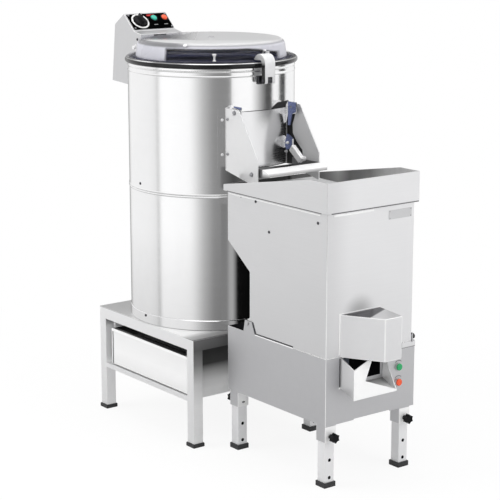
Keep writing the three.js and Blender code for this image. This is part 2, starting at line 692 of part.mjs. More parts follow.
// Console housing, cut to sit against the drum, and its sloped panel
function addConsole() {
  const c = desk;
  const slope = degrees(c.slopeAngle);
  const along = c.slopeLength / 2;
  const top = [c.slopeX - along * Math.cos(slope), c.slopeZ + along * Math.sin(slope)];
  const foot = [c.slopeX + along * Math.cos(slope), c.slopeZ - along * Math.sin(slope)];
  const rimTop = drum.top + drum.rimCap;
  const rimBottom = rimTop - drum.rimHeight;
  const inner = -Math.sqrt(drum.radius ** 2 - c.halfWidth ** 2) + overrun;
  const outline = [
    [c.backBottom, c.bottom], [c.backTop, c.shoulder], top, foot, [c.neckX, c.neckZ],
    [c.neckX, rimTop + gap], [inner, rimTop + gap], [inner, c.bottom - c.bottomFall]];
  const t = c.sheet;
  const cavity = [
    [c.backBottom + t, c.bottom], [c.backTop + t, c.shoulder - t], [top[0], top[1] - t - t],
    [foot[0] - t, foot[1] - t - t], [c.neckX - t, c.neckZ - t], [c.neckX - t, rimBottom - t * 2],
    [-drum.rimRadius - t * 4, rimBottom - t * 2], [-drum.rimRadius - t * 4, c.bottom]];
  const inside = pull(cavity, -c.halfWidth + t, c.halfWidth - t);
  const access = block(
    c.backTop, -drum.rimRadius - t * 8, -c.accessHalf, c.accessHalf,
    c.bottom - c.bottomFall - overrun, c.bottom + overrun);
  const housing = cut(pull(outline, -c.halfWidth, c.halfWidth), inside, access);
  const drumSpace = turn([
    [0, 0], [drum.radius + drum.bead + gap, 0], [drum.radius + drum.bead + gap, rimBottom - gap],
    [drum.rimRadius + gap, rimBottom - gap], [drum.rimRadius + gap, rimTop + overrun],
    [0, rimTop + overrun]]);
  const onSlope = (bore, across, y) => bore.translate(across, y, 0).rotateY(slope)
    .translate(c.slopeX, 0, c.slopeZ);
  const bores = [pushButton.startY, pushButton.stopY].map((y) => onSlope(
    rod(pushButton.bore, -pushButton.stem - gap - overrun, overrun), pushButton.across, y));
  const spindleBore = onSlope(
    rod(dial.spindle + gap, -dial.spindleLength - overrun, overrun, smallSides), 0, dial.y);
  add('console_housing', cut(housing, drumSpace, ...bores, spindleBore), 'satin');

  const tilted = new THREE.Group();
  tilted.position.set(c.slopeX, 0, c.slopeZ);
  tilted.rotation.y = slope;
  group.add(tilted);
  const halfH = panel.height / 2;
  const halfW = panel.width / 2;
  const plate = block(-halfH, halfH, -halfW, halfW, gap, gap + panel.thickness);
  const face0 = gap + panel.thickness;
  const bezelTop = face0 + pushButton.bezelHeight;
  const bezels = [pushButton.startY, pushButton.stopY].map(
    (y) => rod(pushButton.bezel, face0 - weld, bezelTop).translate(pushButton.across, y, 0));
  const holes = [pushButton.startY, pushButton.stopY].map(
    (y) => rod(pushButton.bore, -overrun, bezelTop + overrun).translate(pushButton.across, y, 0));
  const spindleHole = rod(dial.spindle + gap, -overrun, face0 + overrun, smallSides)
    .translate(0, dial.y, 0);
  add('control_panel', cut(join(plate, ...bezels), ...holes, spindleHole), 'dark', tilted);

  const ringInner = dial.skirt - 2 * gap;
  const ringBottom = face0 + gap;
  const ringTop = ringBottom + dial.ringThickness;
  const ring = turn([
    [ringInner, ringBottom], [dial.ring, ringBottom], [dial.ring, ringTop], [ringInner, ringTop]],
  wheelSides);
  add('dial_ring', ring.translate(0, dial.y, 0), 'white', tilted);

  const knobBase = face0 + dial.ringThickness + gap + gap;
  const skirt = turn([
    [0, knobBase], [dial.skirt, knobBase], [dial.knob, knobBase + dial.skirtHeight],
    [dial.knob - dial.skirtHeight, knobBase + dial.skirtHeight], [0, knobBase + dial.skirtHeight]],
  wheelSides);
  const knobTop = knobBase + dial.knobHeight;
  const grip = block(-dial.knob, dial.knob, -dial.grip / 2, dial.grip / 2, knobBase, knobTop);
  const gripRound = rod(dial.knob - dial.skirtHeight / 2, knobBase, knobTop);
  const spindle = rod(dial.spindle, -dial.spindleLength, knobBase + weld, smallSides);
  add('timer_knob', join(skirt, overlap(grip, gripRound), spindle).translate(0, dial.y, 0), 'dark', tilted);

  [['start', pushButton.startY, 'green'], ['stop', pushButton.stopY, 'red']].forEach(([name, y, look]) => {
    const capTop = bezelTop + pushButton.proud;
    const { radius, stem } = pushButton;
    const cap = turn([
      [0, -stem], [radius, -stem], [radius, capTop - gap * 4], [radius - gap * 4, capTop],
      [0, capTop]], tubeSides);
    add(`${name}_button`, cap.translate(pushButton.across, y, 0), look, tilted);
  });
}

// Side plates of the outlet with their flanges on the drum and the door's pivot pins
function addOutletPlates() {
  const o = outlet;
  const outline = [
    [o.heelX, o.top], [o.heelX, o.heelZ], [o.kneeX, o.noseZ], [o.kneeX, o.kneeZ], [o.topX, o.top]];
  [['left', -1], ['right', 1]].forEach(([side, s]) => {
    const yIn = s * (o.halfWidth - o.plate / 2);
    const yOut = s * (o.halfWidth + o.plate / 2);
    const plate = pull(outline, yIn, yOut);
    const flangeRadius = drum.radius + o.plate;
    const inner = Math.asin((o.halfWidth - o.plate / 2) / flangeRadius);
    const outer = Math.asin((o.halfWidth + o.flange) / flangeRadius);
    const shape = new THREE.Shape();
    shape.absarc(0, 0, flangeRadius, inner, outer, false);
    shape.absarc(0, 0, drum.radius - o.plate, outer, inner, true);
    const strip = extrude(shape, o.top - o.heelZ).translate(0, 0, o.heelZ);
    if (s < 0) strip.scale(1, -1, 1);
    const drumSpace = rod(drum.radius + gap, o.heelZ - overrun, o.top + overrun, drumSides);
    const pinEnd = s * (doorArm.y - gap);
    const pin = rodAlongY(door.pin, door.hingeX, door.hingeZ, pinEnd, yIn + s * weld);
    const head = rodAlongY(door.pin * 2, door.hingeX, door.hingeZ, yOut, yOut + s * door.pin, 6);
    add(`outlet_plate_${side}`, cut(join(plate, strip, pin, head), drumSpace), 'satin');
  });
}

// Curved door with its two hinge arms and the lever's lug
function addDoor() {
  const outer = door.inner + door.thickness;
  const half = Math.asin(door.halfWidth / outer);
  const shape = new THREE.Shape();
  shape.absarc(0, 0, outer, -half, half, false);
  shape.absarc(0, 0, door.inner, half, -half, true);
  const sheet = extrude(shape, door.top - door.bottom, smallSides).translate(0, 0, door.bottom);
  const a = doorArm;
  const root = Math.sqrt(outer ** 2 - (a.y + a.thickness) ** 2) - door.thickness / 2;
  const arms = [-1, 1].map((s) => {
    const y0 = Math.min(s * a.y, s * (a.y + a.thickness));
    const y1 = Math.max(s * a.y, s * (a.y + a.thickness));
    const arm = pull([
      [root, a.tailZ], [root + a.boss, a.tailZ], [root + 2 * a.boss, a.bottom - a.boss],
      [a.frontX, a.bottom], [a.frontX, a.top], [root + 2 * a.boss, a.top], [root, door.top]], y0, y1);
    return cut(arm, rodAlongY(door.bore, door.hingeX, door.hingeZ, y0 - overrun, y1 + overrun));
  });
  const lugY0 = lever.y + lever.thickness + gap;
  const lugY1 = lugY0 + lever.lug;
  const lugRoot = Math.sqrt(outer ** 2 - lugY1 ** 2) - door.thickness / 2;
  const lug = pull([
    [lugRoot, lever.pivotZ - lever.lugDepth], [lever.pivotX + lever.pin, lever.pivotZ - 2 * lever.pin],
    [lever.pivotX + 2 * lever.pin, lever.pivotZ], [lever.pivotX + lever.pin, lever.pivotZ + 2 * lever.pin],
    [lugRoot, lever.pivotZ + lever.lugDepth]], lugY0, lugY1);
  const pin = rodAlongY(lever.pin, lever.pivotX, lever.pivotZ, lever.y - lever.pin, lugY0 + weld);
  const innerSpace = rod(
    door.inner + door.thickness / 2, door.bottom - overrun, a.top + overrun, drumSides);
  add('outlet_door', join(sheet, cut(join(...arms, lug), innerSpace), pin), 'satin');
}

// Door lever: an angled plate on the lug's pin, its arm and its grip
function addLever() {
  const l = lever;
  const plate = [
    [-l.plateRear / 3, l.plateTop], [l.plateFront, l.plateTop / 2], [l.plateFront, -l.plateFoot / 2],
    [-l.plateRear / 2, -l.plateFoot], [-l.plateRear, -l.plateFoot / 2], [-l.plateRear, 0]];
  const head = pull(plate, l.y, l.y + l.thickness);
  const armHalf = l.armWidth / 2;
  const arm = block(0, l.armLength, l.y, l.y + l.thickness, -armHalf, armHalf)
    .rotateY(degrees(-l.armAngle));
  const angle = degrees(l.armAngle);
  const endX = (l.armLength - l.grip) * Math.cos(angle);
  const endZ = (l.armLength - l.grip) * Math.sin(angle);
  const grip = rodAlongY(l.grip, endX, endZ, l.y, l.y + l.gripLength);
  const bore = rodAlongY(l.bore, 0, 0, l.y - overrun, l.y + l.thickness + overrun);
  const mesh = add('door_lever', cut(join(head, arm, grip), bore), 'steel');
  mesh.position.set(l.pivotX, 0, l.pivotZ);
}

// Shallow tray under the door with its sloping lip
function addTray() {
  const t = tray;
  const w = t.halfWidth;
  const floor = block(t.back, t.front, -w, w, t.floor, t.floor + t.sheet);
  const walls = [-1, 1].map((s) => block(
    t.back, t.front, s * w, s * (w - t.sheet), t.floor, t.wallTop));
  const lip = pull([
    [t.front - t.sheet, t.floor], [t.lipFront, t.lipBottom], [t.lipFront, t.lipTop], [t.front, t.wallTop],
    [t.front - t.sheet, t.wallTop]], -w, w);
  const bosses = [-1, 1].map((s) => {
    const y0 = s * (w - weld);
    const y1 = s * (outlet.halfWidth - outlet.plate / 2 - gap);
    return rodAlongY(t.sheet * 2, (t.back + t.front) / 2, (t.floor + t.wallTop) / 2, y0, y1);
  });
  const drumSpace = rod(
    door.inner + door.thickness + gap * 4, t.floor - overrun, t.wallTop + overrun, drumSides);
  add('outlet_tray', cut(join(floor, ...walls, lip, ...bosses), drumSpace), 'steel');
}

// Chip cutter: base with leg sockets
const legPlaces = [
  ['front_left', cutter.front - leg.socket / 2, cutter.left + leg.socket / 2],
  ['front_right', cutter.front - leg.socket / 2, cutter.baseRight - leg.insetRight - leg.socket / 2],
  ['rear_right', cutter.baseBack + leg.insetFar + leg.socket / 2,
    cutter.baseRight - leg.insetRight - leg.socket / 2],
  ['rear_left', cutter.baseBack + leg.insetFar + leg.socket / 2, cutter.left + leg.socket / 2],
];

function addCutterBase() {
  const c = cutter;
  const t = c.sheet;
  const shell = cut(
    block(c.baseBack, c.front, c.left, c.baseRight, c.baseBottom, c.baseTop),
    block(
      c.baseBack + t, c.front - t, c.left + t, c.baseRight - t,
      c.baseBottom - overrun, c.baseTop - t));
  const half = leg.socket / 2;
  const socketBottom = c.baseBottom - leg.socketDrop;
  const sockets = legPlaces.map(([, x, y]) => block(
    x - half, x + half, y - half, y + half, socketBottom, c.baseTop - t + weld));
  const limits = block(c.baseBack, c.front, c.left, c.baseRight, socketBottom - overrun, c.baseTop);
  const bore = leg.tube / 2 + gap;
  const bores = legPlaces.map(([, x, y]) => block(
    x - bore, x + bore, y - bore, y + bore, socketBottom - overrun, c.baseTop - t - t));
  const solid = overlap(join(shell, ...sockets), limits);
  const throat = block(
    c.front - c.sheet - overrun, c.front + overrun, scoop.left + scoop.sheet * 3,
    scoop.right - scoop.sheet * 3, scoop.backBottom + scoop.sheet * 4, c.baseTop - t - t);
  const b = cutterButton;
  const buttons = [b.startZ, b.stopZ];
  const bezelTop = c.front + b.bezelHeight;
  const bezels = buttons.map((z) => cut(
    rodAlongX(b.bezel, b.y, z, c.front - weld, bezelTop, tubeSides),
    rodAlongX(b.radius + b.clearance, b.y, z, c.front, bezelTop + overrun, tubeSides)));
  const buttonBores = buttons.map((z) => rodAlongX(
    b.stem + b.clearance, b.y, z, c.front - t - overrun, c.front + overrun));
  const starBores = legPlaces.map(([name, x, y]) => {
    const s = name.startsWith('front') ? 1 : -1;
    const end = x + s * leg.socket;
    return rodAlongX(star.stem + gap, y, star.z, x, end);
  });
  const skirtCut = block(
    c.baseBack - overrun, c.front + overrun, c.skirtLeft, c.skirtRight,
    c.baseBottom - overrun, c.baseBottom + t);
  const full = join(solid, ...bezels, earAt(c.left), earAt(c.right + gap), ...pivotPins(), latchLug());
  add('cutter_base', cut(full, ...bores, throat, ...buttonBores, ...starBores, skirtCut), 'satin');
}

// Ear that rises from the base beside the body, and the outline that the body keeps clear of it
function earAt(y) {
  const foot = cutter.baseTop - cutter.sheet;
  return pull([
    [ear.rearFoot, foot], [ear.frontFoot, foot], [ear.frontFoot, cutter.baseTop], [ear.frontTop, ear.top],
    [ear.rearTop, ear.top], [ear.rearFoot, cutter.baseTop]], y, y + cutter.sheet);
}

function pivotPins() {
  const t = cutter.sheet;
  const reach = t + gap + t + ear.bolt;
  const pin = (a, b, radius, sides) => rodAlongY(radius, ear.x, ear.z, a, b, sides);
  return [[cutter.left, -1], [cutter.right + gap + t, 1]].flatMap(([y, s]) => [
    pin(y - s * reach, y + s * weld, ear.bolt, smallSides),
    pin(y - s * weld, y + s * ear.headHeight, ear.head, 6)]);
}

// Lug beside the body for the clamping knob
function latchLug() {
  const l = sideLatch;
  const y = cutter.right + gap;
  const lug = block(
    l.x - l.halfWidth, l.x + l.halfWidth, y, y + cutter.sheet,
    cutter.baseTop - cutter.sheet, l.z + l.rise);
  return cut(lug, rodAlongY(l.bore, l.x, l.z, y - overrun, y + cutter.sheet + overrun));
}

// Body of the chip cutter: a folded shell with a cut-back rear, open at both ends
function addCutterBody() {
  const c = cutter;
  const t = c.sheet;
  const z0 = c.baseTop + gap;
  const z1 = c.bodyTop - gap;
  const outline = [
    [c.back, z1], [c.back, c.notchTop], [c.notchX, c.notchZ], [c.notchX, z0], [c.front, z0], [c.front, z1]];
  const inside = [
    [c.back + t, z1 + overrun], [c.back + t, c.notchTop + t], [c.notchX + t, c.notchZ + t],
    [c.notchX + t, z0 - overrun], [c.front - t, z0 - overrun], [c.front - t, z1 + overrun]];
  const mouthHalf = knives.halfWidth + knives.frame;
  const mouth = block(
    c.front - overrun, c.front + overrun, cutterMiddle() - mouthHalf, cutterMiddle() + mouthHalf,
    hood.bottom + t * 3, hood.top - t * 2);
  const earSpace = pull([
    [ear.rearFoot, z0 - overrun], [ear.frontFoot + ear.slit, z0 - overrun],
    [ear.frontFoot + ear.slit, z0], [ear.frontTop + ear.slit, ear.top + ear.slit],
    [ear.rearFoot, ear.top + ear.slit]], c.left - overrun, c.left + t + gap);
  const slit = block(
    ear.frontFoot, ear.slitEnd, c.left - overrun, c.left + t, z0 - overrun, z0 + ear.slitHeight);
  const shell = cut(
    pull(outline, c.left, c.right), pull(inside, c.left + t, c.right - t), mouth, earSpace, slit);
  const lugs = [c.left + t + gap, c.right - t].map((y) => pull([
    [ear.x - ear.head, z0], [ear.frontFoot + ear.slit * 2, z0],
    [ear.frontTop + ear.slit * 2, ear.top + ear.slit * 2],
    [ear.x + ear.head, ear.top + ear.slit * 2], [ear.x - ear.head, ear.top]], y, y + t));
  const web = block(
    ear.x + ear.head + t, ear.frontTop + ear.slit * 2, c.left + t - weld,
    c.left + t + gap + weld, ear.top + ear.slit, ear.top + ear.slit * 2);
  const pinBore = rodAlongY(ear.bolt + gap, ear.x, ear.z, c.left - overrun, c.right + overrun);
  const latchBore = rodAlongY(
    sideLatch.bore, sideLatch.x, sideLatch.z, c.right - t - overrun, c.right + overrun);
  add('cutter_body', cut(join(shell, ...lugs, web), pinBore, latchBore), 'satin');
}

// Clamping knob that holds the body down on the base
function addLatchKnob() {
  const l = sideLatch;
  const y = cutter.right + gap + cutter.sheet + gap;
  const knob = rodAlongY(l.knob, 0, 0, y, y + l.knobLength, smallSides);
  const stem = rodAlongY(l.stem, 0, 0, cutter.right - cutter.sheet, y + weld);
  const mesh = add('body_latch_knob', join(knob, stem), 'dark');
  mesh.position.set(l.x, 0, l.z);
}

function cutterMiddle() {
  return (hood.backLeft + hood.backRight) / 2;
}

// Hopper: sloping rim, funnel floor and throat
function addHopper() {
  const c = cutter;
  const h = hopper;
  const x0 = c.back - h.overhang;
  const x1 = c.front + h.overhang;
  const y0 = c.left - h.overhang + weld;
  const y1 = c.right + h.overhangRight;
  const z0 = c.bodyTop;
  const level = x1 - (x1 - x0) * h.levelShare;
  const t = h.sheet;
  const outer = pull([[x0, z0], [x1, z0], [x1, h.top], [level, h.top], [x0, h.backTop]], y0, y1);
  const inner = pull([
    [x0 + t, z0 + t * 2], [h.throatBack, z0 + t], [x1 - t, z0 + t], [x1 - t, h.top + overrun],
    [level, h.top + overrun], [x0 + t, h.top + overrun]], y0 + t, y1 - t);
  const throat = block(
    h.throatBack, h.throatFront, -h.throatHalf, h.throatHalf, z0 - h.throatDrop, z0 + t / 2);
  const throatHole = block(
    h.throatBack + t, h.throatFront - t, -h.throatHalf + t, h.throatHalf - t,
    z0 - h.throatDrop - overrun, h.top);
  add('hopper', cut(join(cut(outer, inner), throat), throatHole), 'satin');
}

// Rotor with vanes in its duct, the knife grid in front of it
function addCuttingGear() {
  const r = rotor;
  const half = r.length / 2;
  const vanes = Array.from({ length: r.vanes }, (_, i) => block(
    -r.vane / 2, r.vane / 2, -half, half, r.hub / 2, r.radius).rotateY(Math.PI * 2 * i / r.vanes));
  const endDiscs = [-half, half - r.vane].map((y) => rodAlongY(r.radius, 0, 0, y, y + r.vane, tubeSides));
  const shaftRod = rodAlongY(r.shaft, 0, 0, -half - duct.endPlate * 3, half + duct.endPlate * 3);
  const drumBody = rodAlongY(r.hub, 0, 0, -half, half);
  const mesh = add('cutter_rotor', join(drumBody, ...vanes, ...endDiscs, shaftRod), 'cast');
  mesh.position.set(r.x, 0, r.z);

  const d = duct;
  const outer = d.radius + d.wall;
  const tube = cut(
    rodAlongY(outer, r.x, r.z, -d.halfLength, d.halfLength, wheelSides),
    rodAlongY(d.radius, r.x, r.z, -d.halfLength - overrun, d.halfLength + overrun, wheelSides));
  const mouth = block(
    hopper.throatBack + hopper.sheet + gap, hopper.throatFront, -hopper.throatHalf,
    hopper.throatHalf, r.z + d.radius / 2, r.z + outer + overrun);
  const exit = block(
    r.x + d.radius / 2, r.x + outer + overrun, cutterMiddle() - knives.halfWidth,
    cutterMiddle() + knives.halfWidth, knives.bottom, r.z);
  const plates = [-1, 1].map((s) => {
    const a = s * (half + gap * 2);
    const b = s * (d.halfLength + d.endPlate);
    const edge = s > 0 ? cutter.right - cutter.sheet - gap : -cutter.left - cutter.sheet - gap;
    const web = rodAlongY(outer, r.x, r.z, a, b, wheelSides);
    const boss = rodAlongY(r.hub, r.x, r.z, b - s * weld, s * edge);
    const bore = rodAlongY(
      d.bore, r.x, r.z, a - s * overrun, s * (half + d.endPlate * 4), tubeSides);
    return cut(join(web, boss), bore);
  });
  add('rotor_duct', join(cut(tube, mouth, exit), ...plates), 'satin');

  const k = knives;
  const mid = cutterMiddle();
  const w = k.halfWidth;
  const frame = cut(
    block(
      k.front - k.depth, k.front, mid - w - k.frame, mid + w + k.frame,
      k.bottom - k.frame, k.top + k.frame),
    block(k.front - k.depth - overrun, k.front + overrun, mid - w, mid + w, k.bottom, k.top));
  const blades = [];
  for (let y = mid - w + k.pitch; y < mid + w - k.blade; y += k.pitch) {
    blades.push(block(
      k.front - k.depth, k.front - k.depth / 2 - gap, y - k.blade / 2, y + k.blade / 2,
      k.bottom - weld, k.top + weld));
  }
  for (let z = k.bottom + k.pitch; z < k.top - k.blade; z += k.pitch) {
    blades.push(block(
      k.front - k.depth / 2, k.front, mid - w - weld, mid + w + weld,
      z - k.blade / 2, z + k.blade / 2));
  }
  const stays = [k.top + k.frame / 2, k.bottom - k.frame / 2].map((z) => block(
    k.front - weld, cutter.front - cutter.sheet - gap, mid - w - k.frame, mid + w + k.frame,
    z - k.frame / 2, z + k.frame / 2));
  add('knife_grid', join(frame, ...blades, ...stays), 'steel');
}

// Gear motor in the base, on feet under the deck
function addGearmotor() {
  const g = gearmotor;
  const deck = cutter.baseTop - cutter.sheet - gap;
  const body = rodAlongX(g.radius, 0, g.z, g.x - g.length / 2, g.x + g.length / 2, tubeSides);
  const rear = g.x - g.length / 2;
  const nose = g.x + g.length / 2;
  const box = block(nose - g.boxLength, nose, -g.boxHalf, g.boxHalf, g.z - g.boxHalf, deck);
  const rearFoot = block(
    rear + g.feet, rear + g.boxLength / 2, -g.boxHalf / 2, g.boxHalf / 2, g.z, deck);
  add('gear_motor', join(body, box, rearFoot), 'iron');
}

// Spout hood: tapered cover over the exit, open below and behind
function addHood() {
  const h = hood;
  const c = cutter.front + gap;
  const t = h.sheet;
  const plan = (inset, x0) => [
    [x0, h.backLeft + inset], [h.front - inset, h.frontLeft + inset],
    [h.front - inset, h.frontRight - inset], [x0, h.backRight - inset]];
  const outer = raise(plan(0, c), h.bottom, h.top);
  const inner = raise(plan(t, c - overrun), h.bottom - overrun, h.top - t);
  add('spout_hood', cut(outer, inner), 'steel');
}

// Scoop below the hood: cheeks, guide plate and sloping floor
function addScoop() {
  const s = scoop;
  const c = cutter.front + gap;
  const t = s.sheet;
  const cheekTop = Math.min(s.backTop, hood.bottom - gap * 2);
  const left = pull([
    [c, s.backBottom], [s.front, s.frontBottom], [s.front, s.frontTop], [c, cheekTop]],
  s.left, s.left + t);
  const right = pull([
    [c, s.backBottom], [s.front, s.frontBottom], [s.front, s.frontBottom + s.lipHeight],
    [c, s.rightTop]], s.right - t, s.right);
  const floor = pull([
    [c, s.backBottom], [s.front, s.frontBottom], [s.front, s.frontBottom + t],
    [c, s.backBottom + t]], s.left, s.right);
  const guide = face([
    [s.left, s.frontBottom], [s.right, s.frontBottom], [s.right, s.frontBottom + s.lipHeight],
    [s.mouthLowY, s.mouthLow], [s.mouthTopY, s.mouthTop], [s.riseY, s.rise],
    [s.left, s.frontTop]], s.front - t, s.front);
  add('spout_scoop', join(left, right, floor, guide), 'steel');
}

// Telescopic legs and their star knobs
function addLegs() {
  const half = leg.tube / 2;
  legPlaces.forEach(([name, x, y]) => {
    const tube = block(-half, half, -half, half, leg.footHeight - weld, leg.topZ);
    const r = half + leg.footOut;
    const foot = block(-r, r, -r, r, 0, leg.footHeight);
    const holes = [0, 1].map((i) => rodAlongX(
      leg.hole, 0, leg.firstHole + i * leg.holePitch, -half - overrun, half + overrun));
    const mesh = add(`cutter_leg_${name}`, cut(join(tube, foot), ...holes), 'steel');
    mesh.position.set(x, y, 0);
  });
  legPlaces.forEach(([name, x, y]) => {
    const s = name.startsWith('front') ? 1 : -1;
    const start = leg.socket / 2 + gap;
    const neckEnd = start + star.neckLength;
    const shape = new THREE.Shape();
    const steps = star.lobes * 3;
    for (let i = 0; i <= steps; i += 1) {
      const angle = Math.PI * 2 * i / steps;
      const r = star.radius - star.lobe / 2 + star.lobe / 2 * Math.cos(star.lobes * angle);
      if (i === 0) shape.moveTo(r * Math.cos(angle), r * Math.sin(angle));
      else shape.lineTo(r * Math.cos(angle), r * Math.sin(angle));
    }
    const head = extrude(shape, star.thickness).rotateY(Math.PI / 2).translate(neckEnd - weld, 0, 0);
    const stem = rodAlongX(star.stem, 0, 0, leg.tube / 2 + gap + gap, start + weld);
    const neck = rodAlongX(star.neck, 0, 0, start, neckEnd);
    const mesh = add(`star_knob_${name}`, join(head, neck, stem), 'dark');
    mesh.position.set(x, y, star.z);
    if (s < 0) mesh.rotation.z = Math.PI;
  });
}

// Start and stop buttons on the front of the base
function addCutterButtons() {
  const b = cutterButton;
  const c = cutter.front;
  [['start', b.startZ, 'green'], ['stop', b.stopZ, 'red']].forEach(([name, z, look]) => {
    const top = b.bezelHeight + b.proud;
    const profile = [
      [0, -b.stemLength], [b.stem, -b.stemLength], [b.stem, b.travel], [b.radius, b.travel],
      [b.radius, top - b.clearance], [b.radius - b.clearance * 2, top], [0, top]];
    const mesh = add(`cutter_${name}_button`, turn(profile, tubeSides).rotateY(Math.PI / 2), look);
    mesh.position.set(c, b.y, z);
  });
}

addStand();
addDrawer();
addDrum();
addLiner();
addDisc();
addPan();
addDrive();
addLid();
addHook();
addConsole();
addOutletPlates();
addDoor();
addLever();
addTray();
addCutterBase();
addCutterBody();
addHopper();
addCuttingGear();
addGearmotor();
addHood();
addScoop();
addLegs();
addLatchKnob();
addCutterButtons();

// The origin goes to the middle of the footprint
group.position.x = -(desk.backBottom + hood.front) / 2;

export default product;
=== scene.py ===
# Looks of the drum potato peeler and its chip cutter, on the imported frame
import json
import math

import bmesh
import bpy
from mathutils import Matrix, Vector

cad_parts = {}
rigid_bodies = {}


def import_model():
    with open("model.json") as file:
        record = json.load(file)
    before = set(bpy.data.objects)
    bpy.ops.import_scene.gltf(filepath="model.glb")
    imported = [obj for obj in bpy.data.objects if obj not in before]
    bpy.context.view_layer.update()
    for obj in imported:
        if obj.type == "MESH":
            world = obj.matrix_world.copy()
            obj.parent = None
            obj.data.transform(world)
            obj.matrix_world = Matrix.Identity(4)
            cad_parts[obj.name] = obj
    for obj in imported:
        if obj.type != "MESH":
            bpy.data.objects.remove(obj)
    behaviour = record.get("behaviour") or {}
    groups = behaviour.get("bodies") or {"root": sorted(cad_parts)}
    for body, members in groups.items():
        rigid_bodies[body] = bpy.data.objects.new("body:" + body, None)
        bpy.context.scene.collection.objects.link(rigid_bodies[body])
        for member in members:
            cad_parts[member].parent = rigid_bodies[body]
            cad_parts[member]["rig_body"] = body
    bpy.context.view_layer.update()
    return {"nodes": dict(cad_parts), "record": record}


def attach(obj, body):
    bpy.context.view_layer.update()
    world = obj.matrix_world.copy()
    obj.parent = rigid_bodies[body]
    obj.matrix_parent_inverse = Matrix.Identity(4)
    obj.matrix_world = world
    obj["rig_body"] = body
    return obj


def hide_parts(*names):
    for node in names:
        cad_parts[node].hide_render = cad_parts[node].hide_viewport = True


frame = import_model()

NODES = frame["nodes"]
SLOTS = {part["node"]: part["material_slot"] for part in frame["record"]["subparts"]}
SCENE = bpy.context.scene
INF = math.inf

# Drawing frame: millimetres about the drum's axis, as in the part's source
SHIFT_X = -207.0
MM = 0.001


def at(x, y, z):
    return Vector(((x + SHIFT_X) * MM, y * MM, z * MM))


def polar(radius, degrees):
    turn = math.radians(degrees)
    return radius * math.cos(turn), radius * math.sin(turn)


def arc(centre, radius, angles):
    """Points of an arc about a centre, at angles in degrees."""
    return [(centre[0] + x, centre[1] + y) for x, y in (polar(radius, a) for a in angles)]


def rect(u0, v0, u1, v1):
    return [(u0, v0), (u1, v0), (u1, v1), (u0, v1)]


# Main sizes, repeated from the part in millimetres
GAP = 0.3
STAND = dict(half=250.0, tube=32.0, top=326.0, cap=19.8, cap_top=11.7)
DRUM = dict(r=248.0, wall=3.0, base_r=250.0, base_h=30.0, seam=725.5, top=1102.5, rim_r=256.3,
            rim_h=17.0, rim_in=243.5, rim_cap=4.5, rim_roll=7.6, bead=1.6, bead_h=6.0)
WINDOW = dict(half=96.0, low=806.0, high=960.0)
LINER = dict(r=238.0, low=770.0, top=1088.0, pitch=18.0, depth=2.6, ribs=5, wall=2.0)
LID = dict(flange=246.0, wall_r=224.0, rise=52.0, round=22.0, t=4.0)
HOOK = dict(half=19.0, inner=268.0, outer=285.0, low=1047.0, top=1131.0, tip=231.0,
            tip_low=1112.0, pin_z=1056.0, slot_half=7.3)
CUTTER = dict(front=729.0, left=-157.0, right=151.0, base_right=165.5, base_rear=291.0)
LEG = dict(half=19.0, tube_half=15.5, rear_inset=10.0, right_inset=15.5, foot_top=14.3)
BAY_INSIDE = 217.1
DIAL_Y = -37.0
PANEL_TOP = 2.3
TILT = Matrix.Translation(at(-324.3, 0, 1185.7)) @ Matrix.Rotation(math.radians(42.1), 4, "Y")
CAMERA_TURN = 52.66


# Camera, solved from the photograph
def add_camera():
    data = bpy.data.cameras.new("camera")
    data.sensor_width = 36.0
    data.lens = 115.9
    data.clip_end = 60.0
    cam = bpy.data.objects.new("camera", data)
    cam.location = (3.67381, -2.81573, 1.58108)
    cam.rotation_euler = (math.radians(77.44), 0.0, math.radians(CAMERA_TURN))
    SCENE.collection.objects.link(cam)
    SCENE.camera = cam


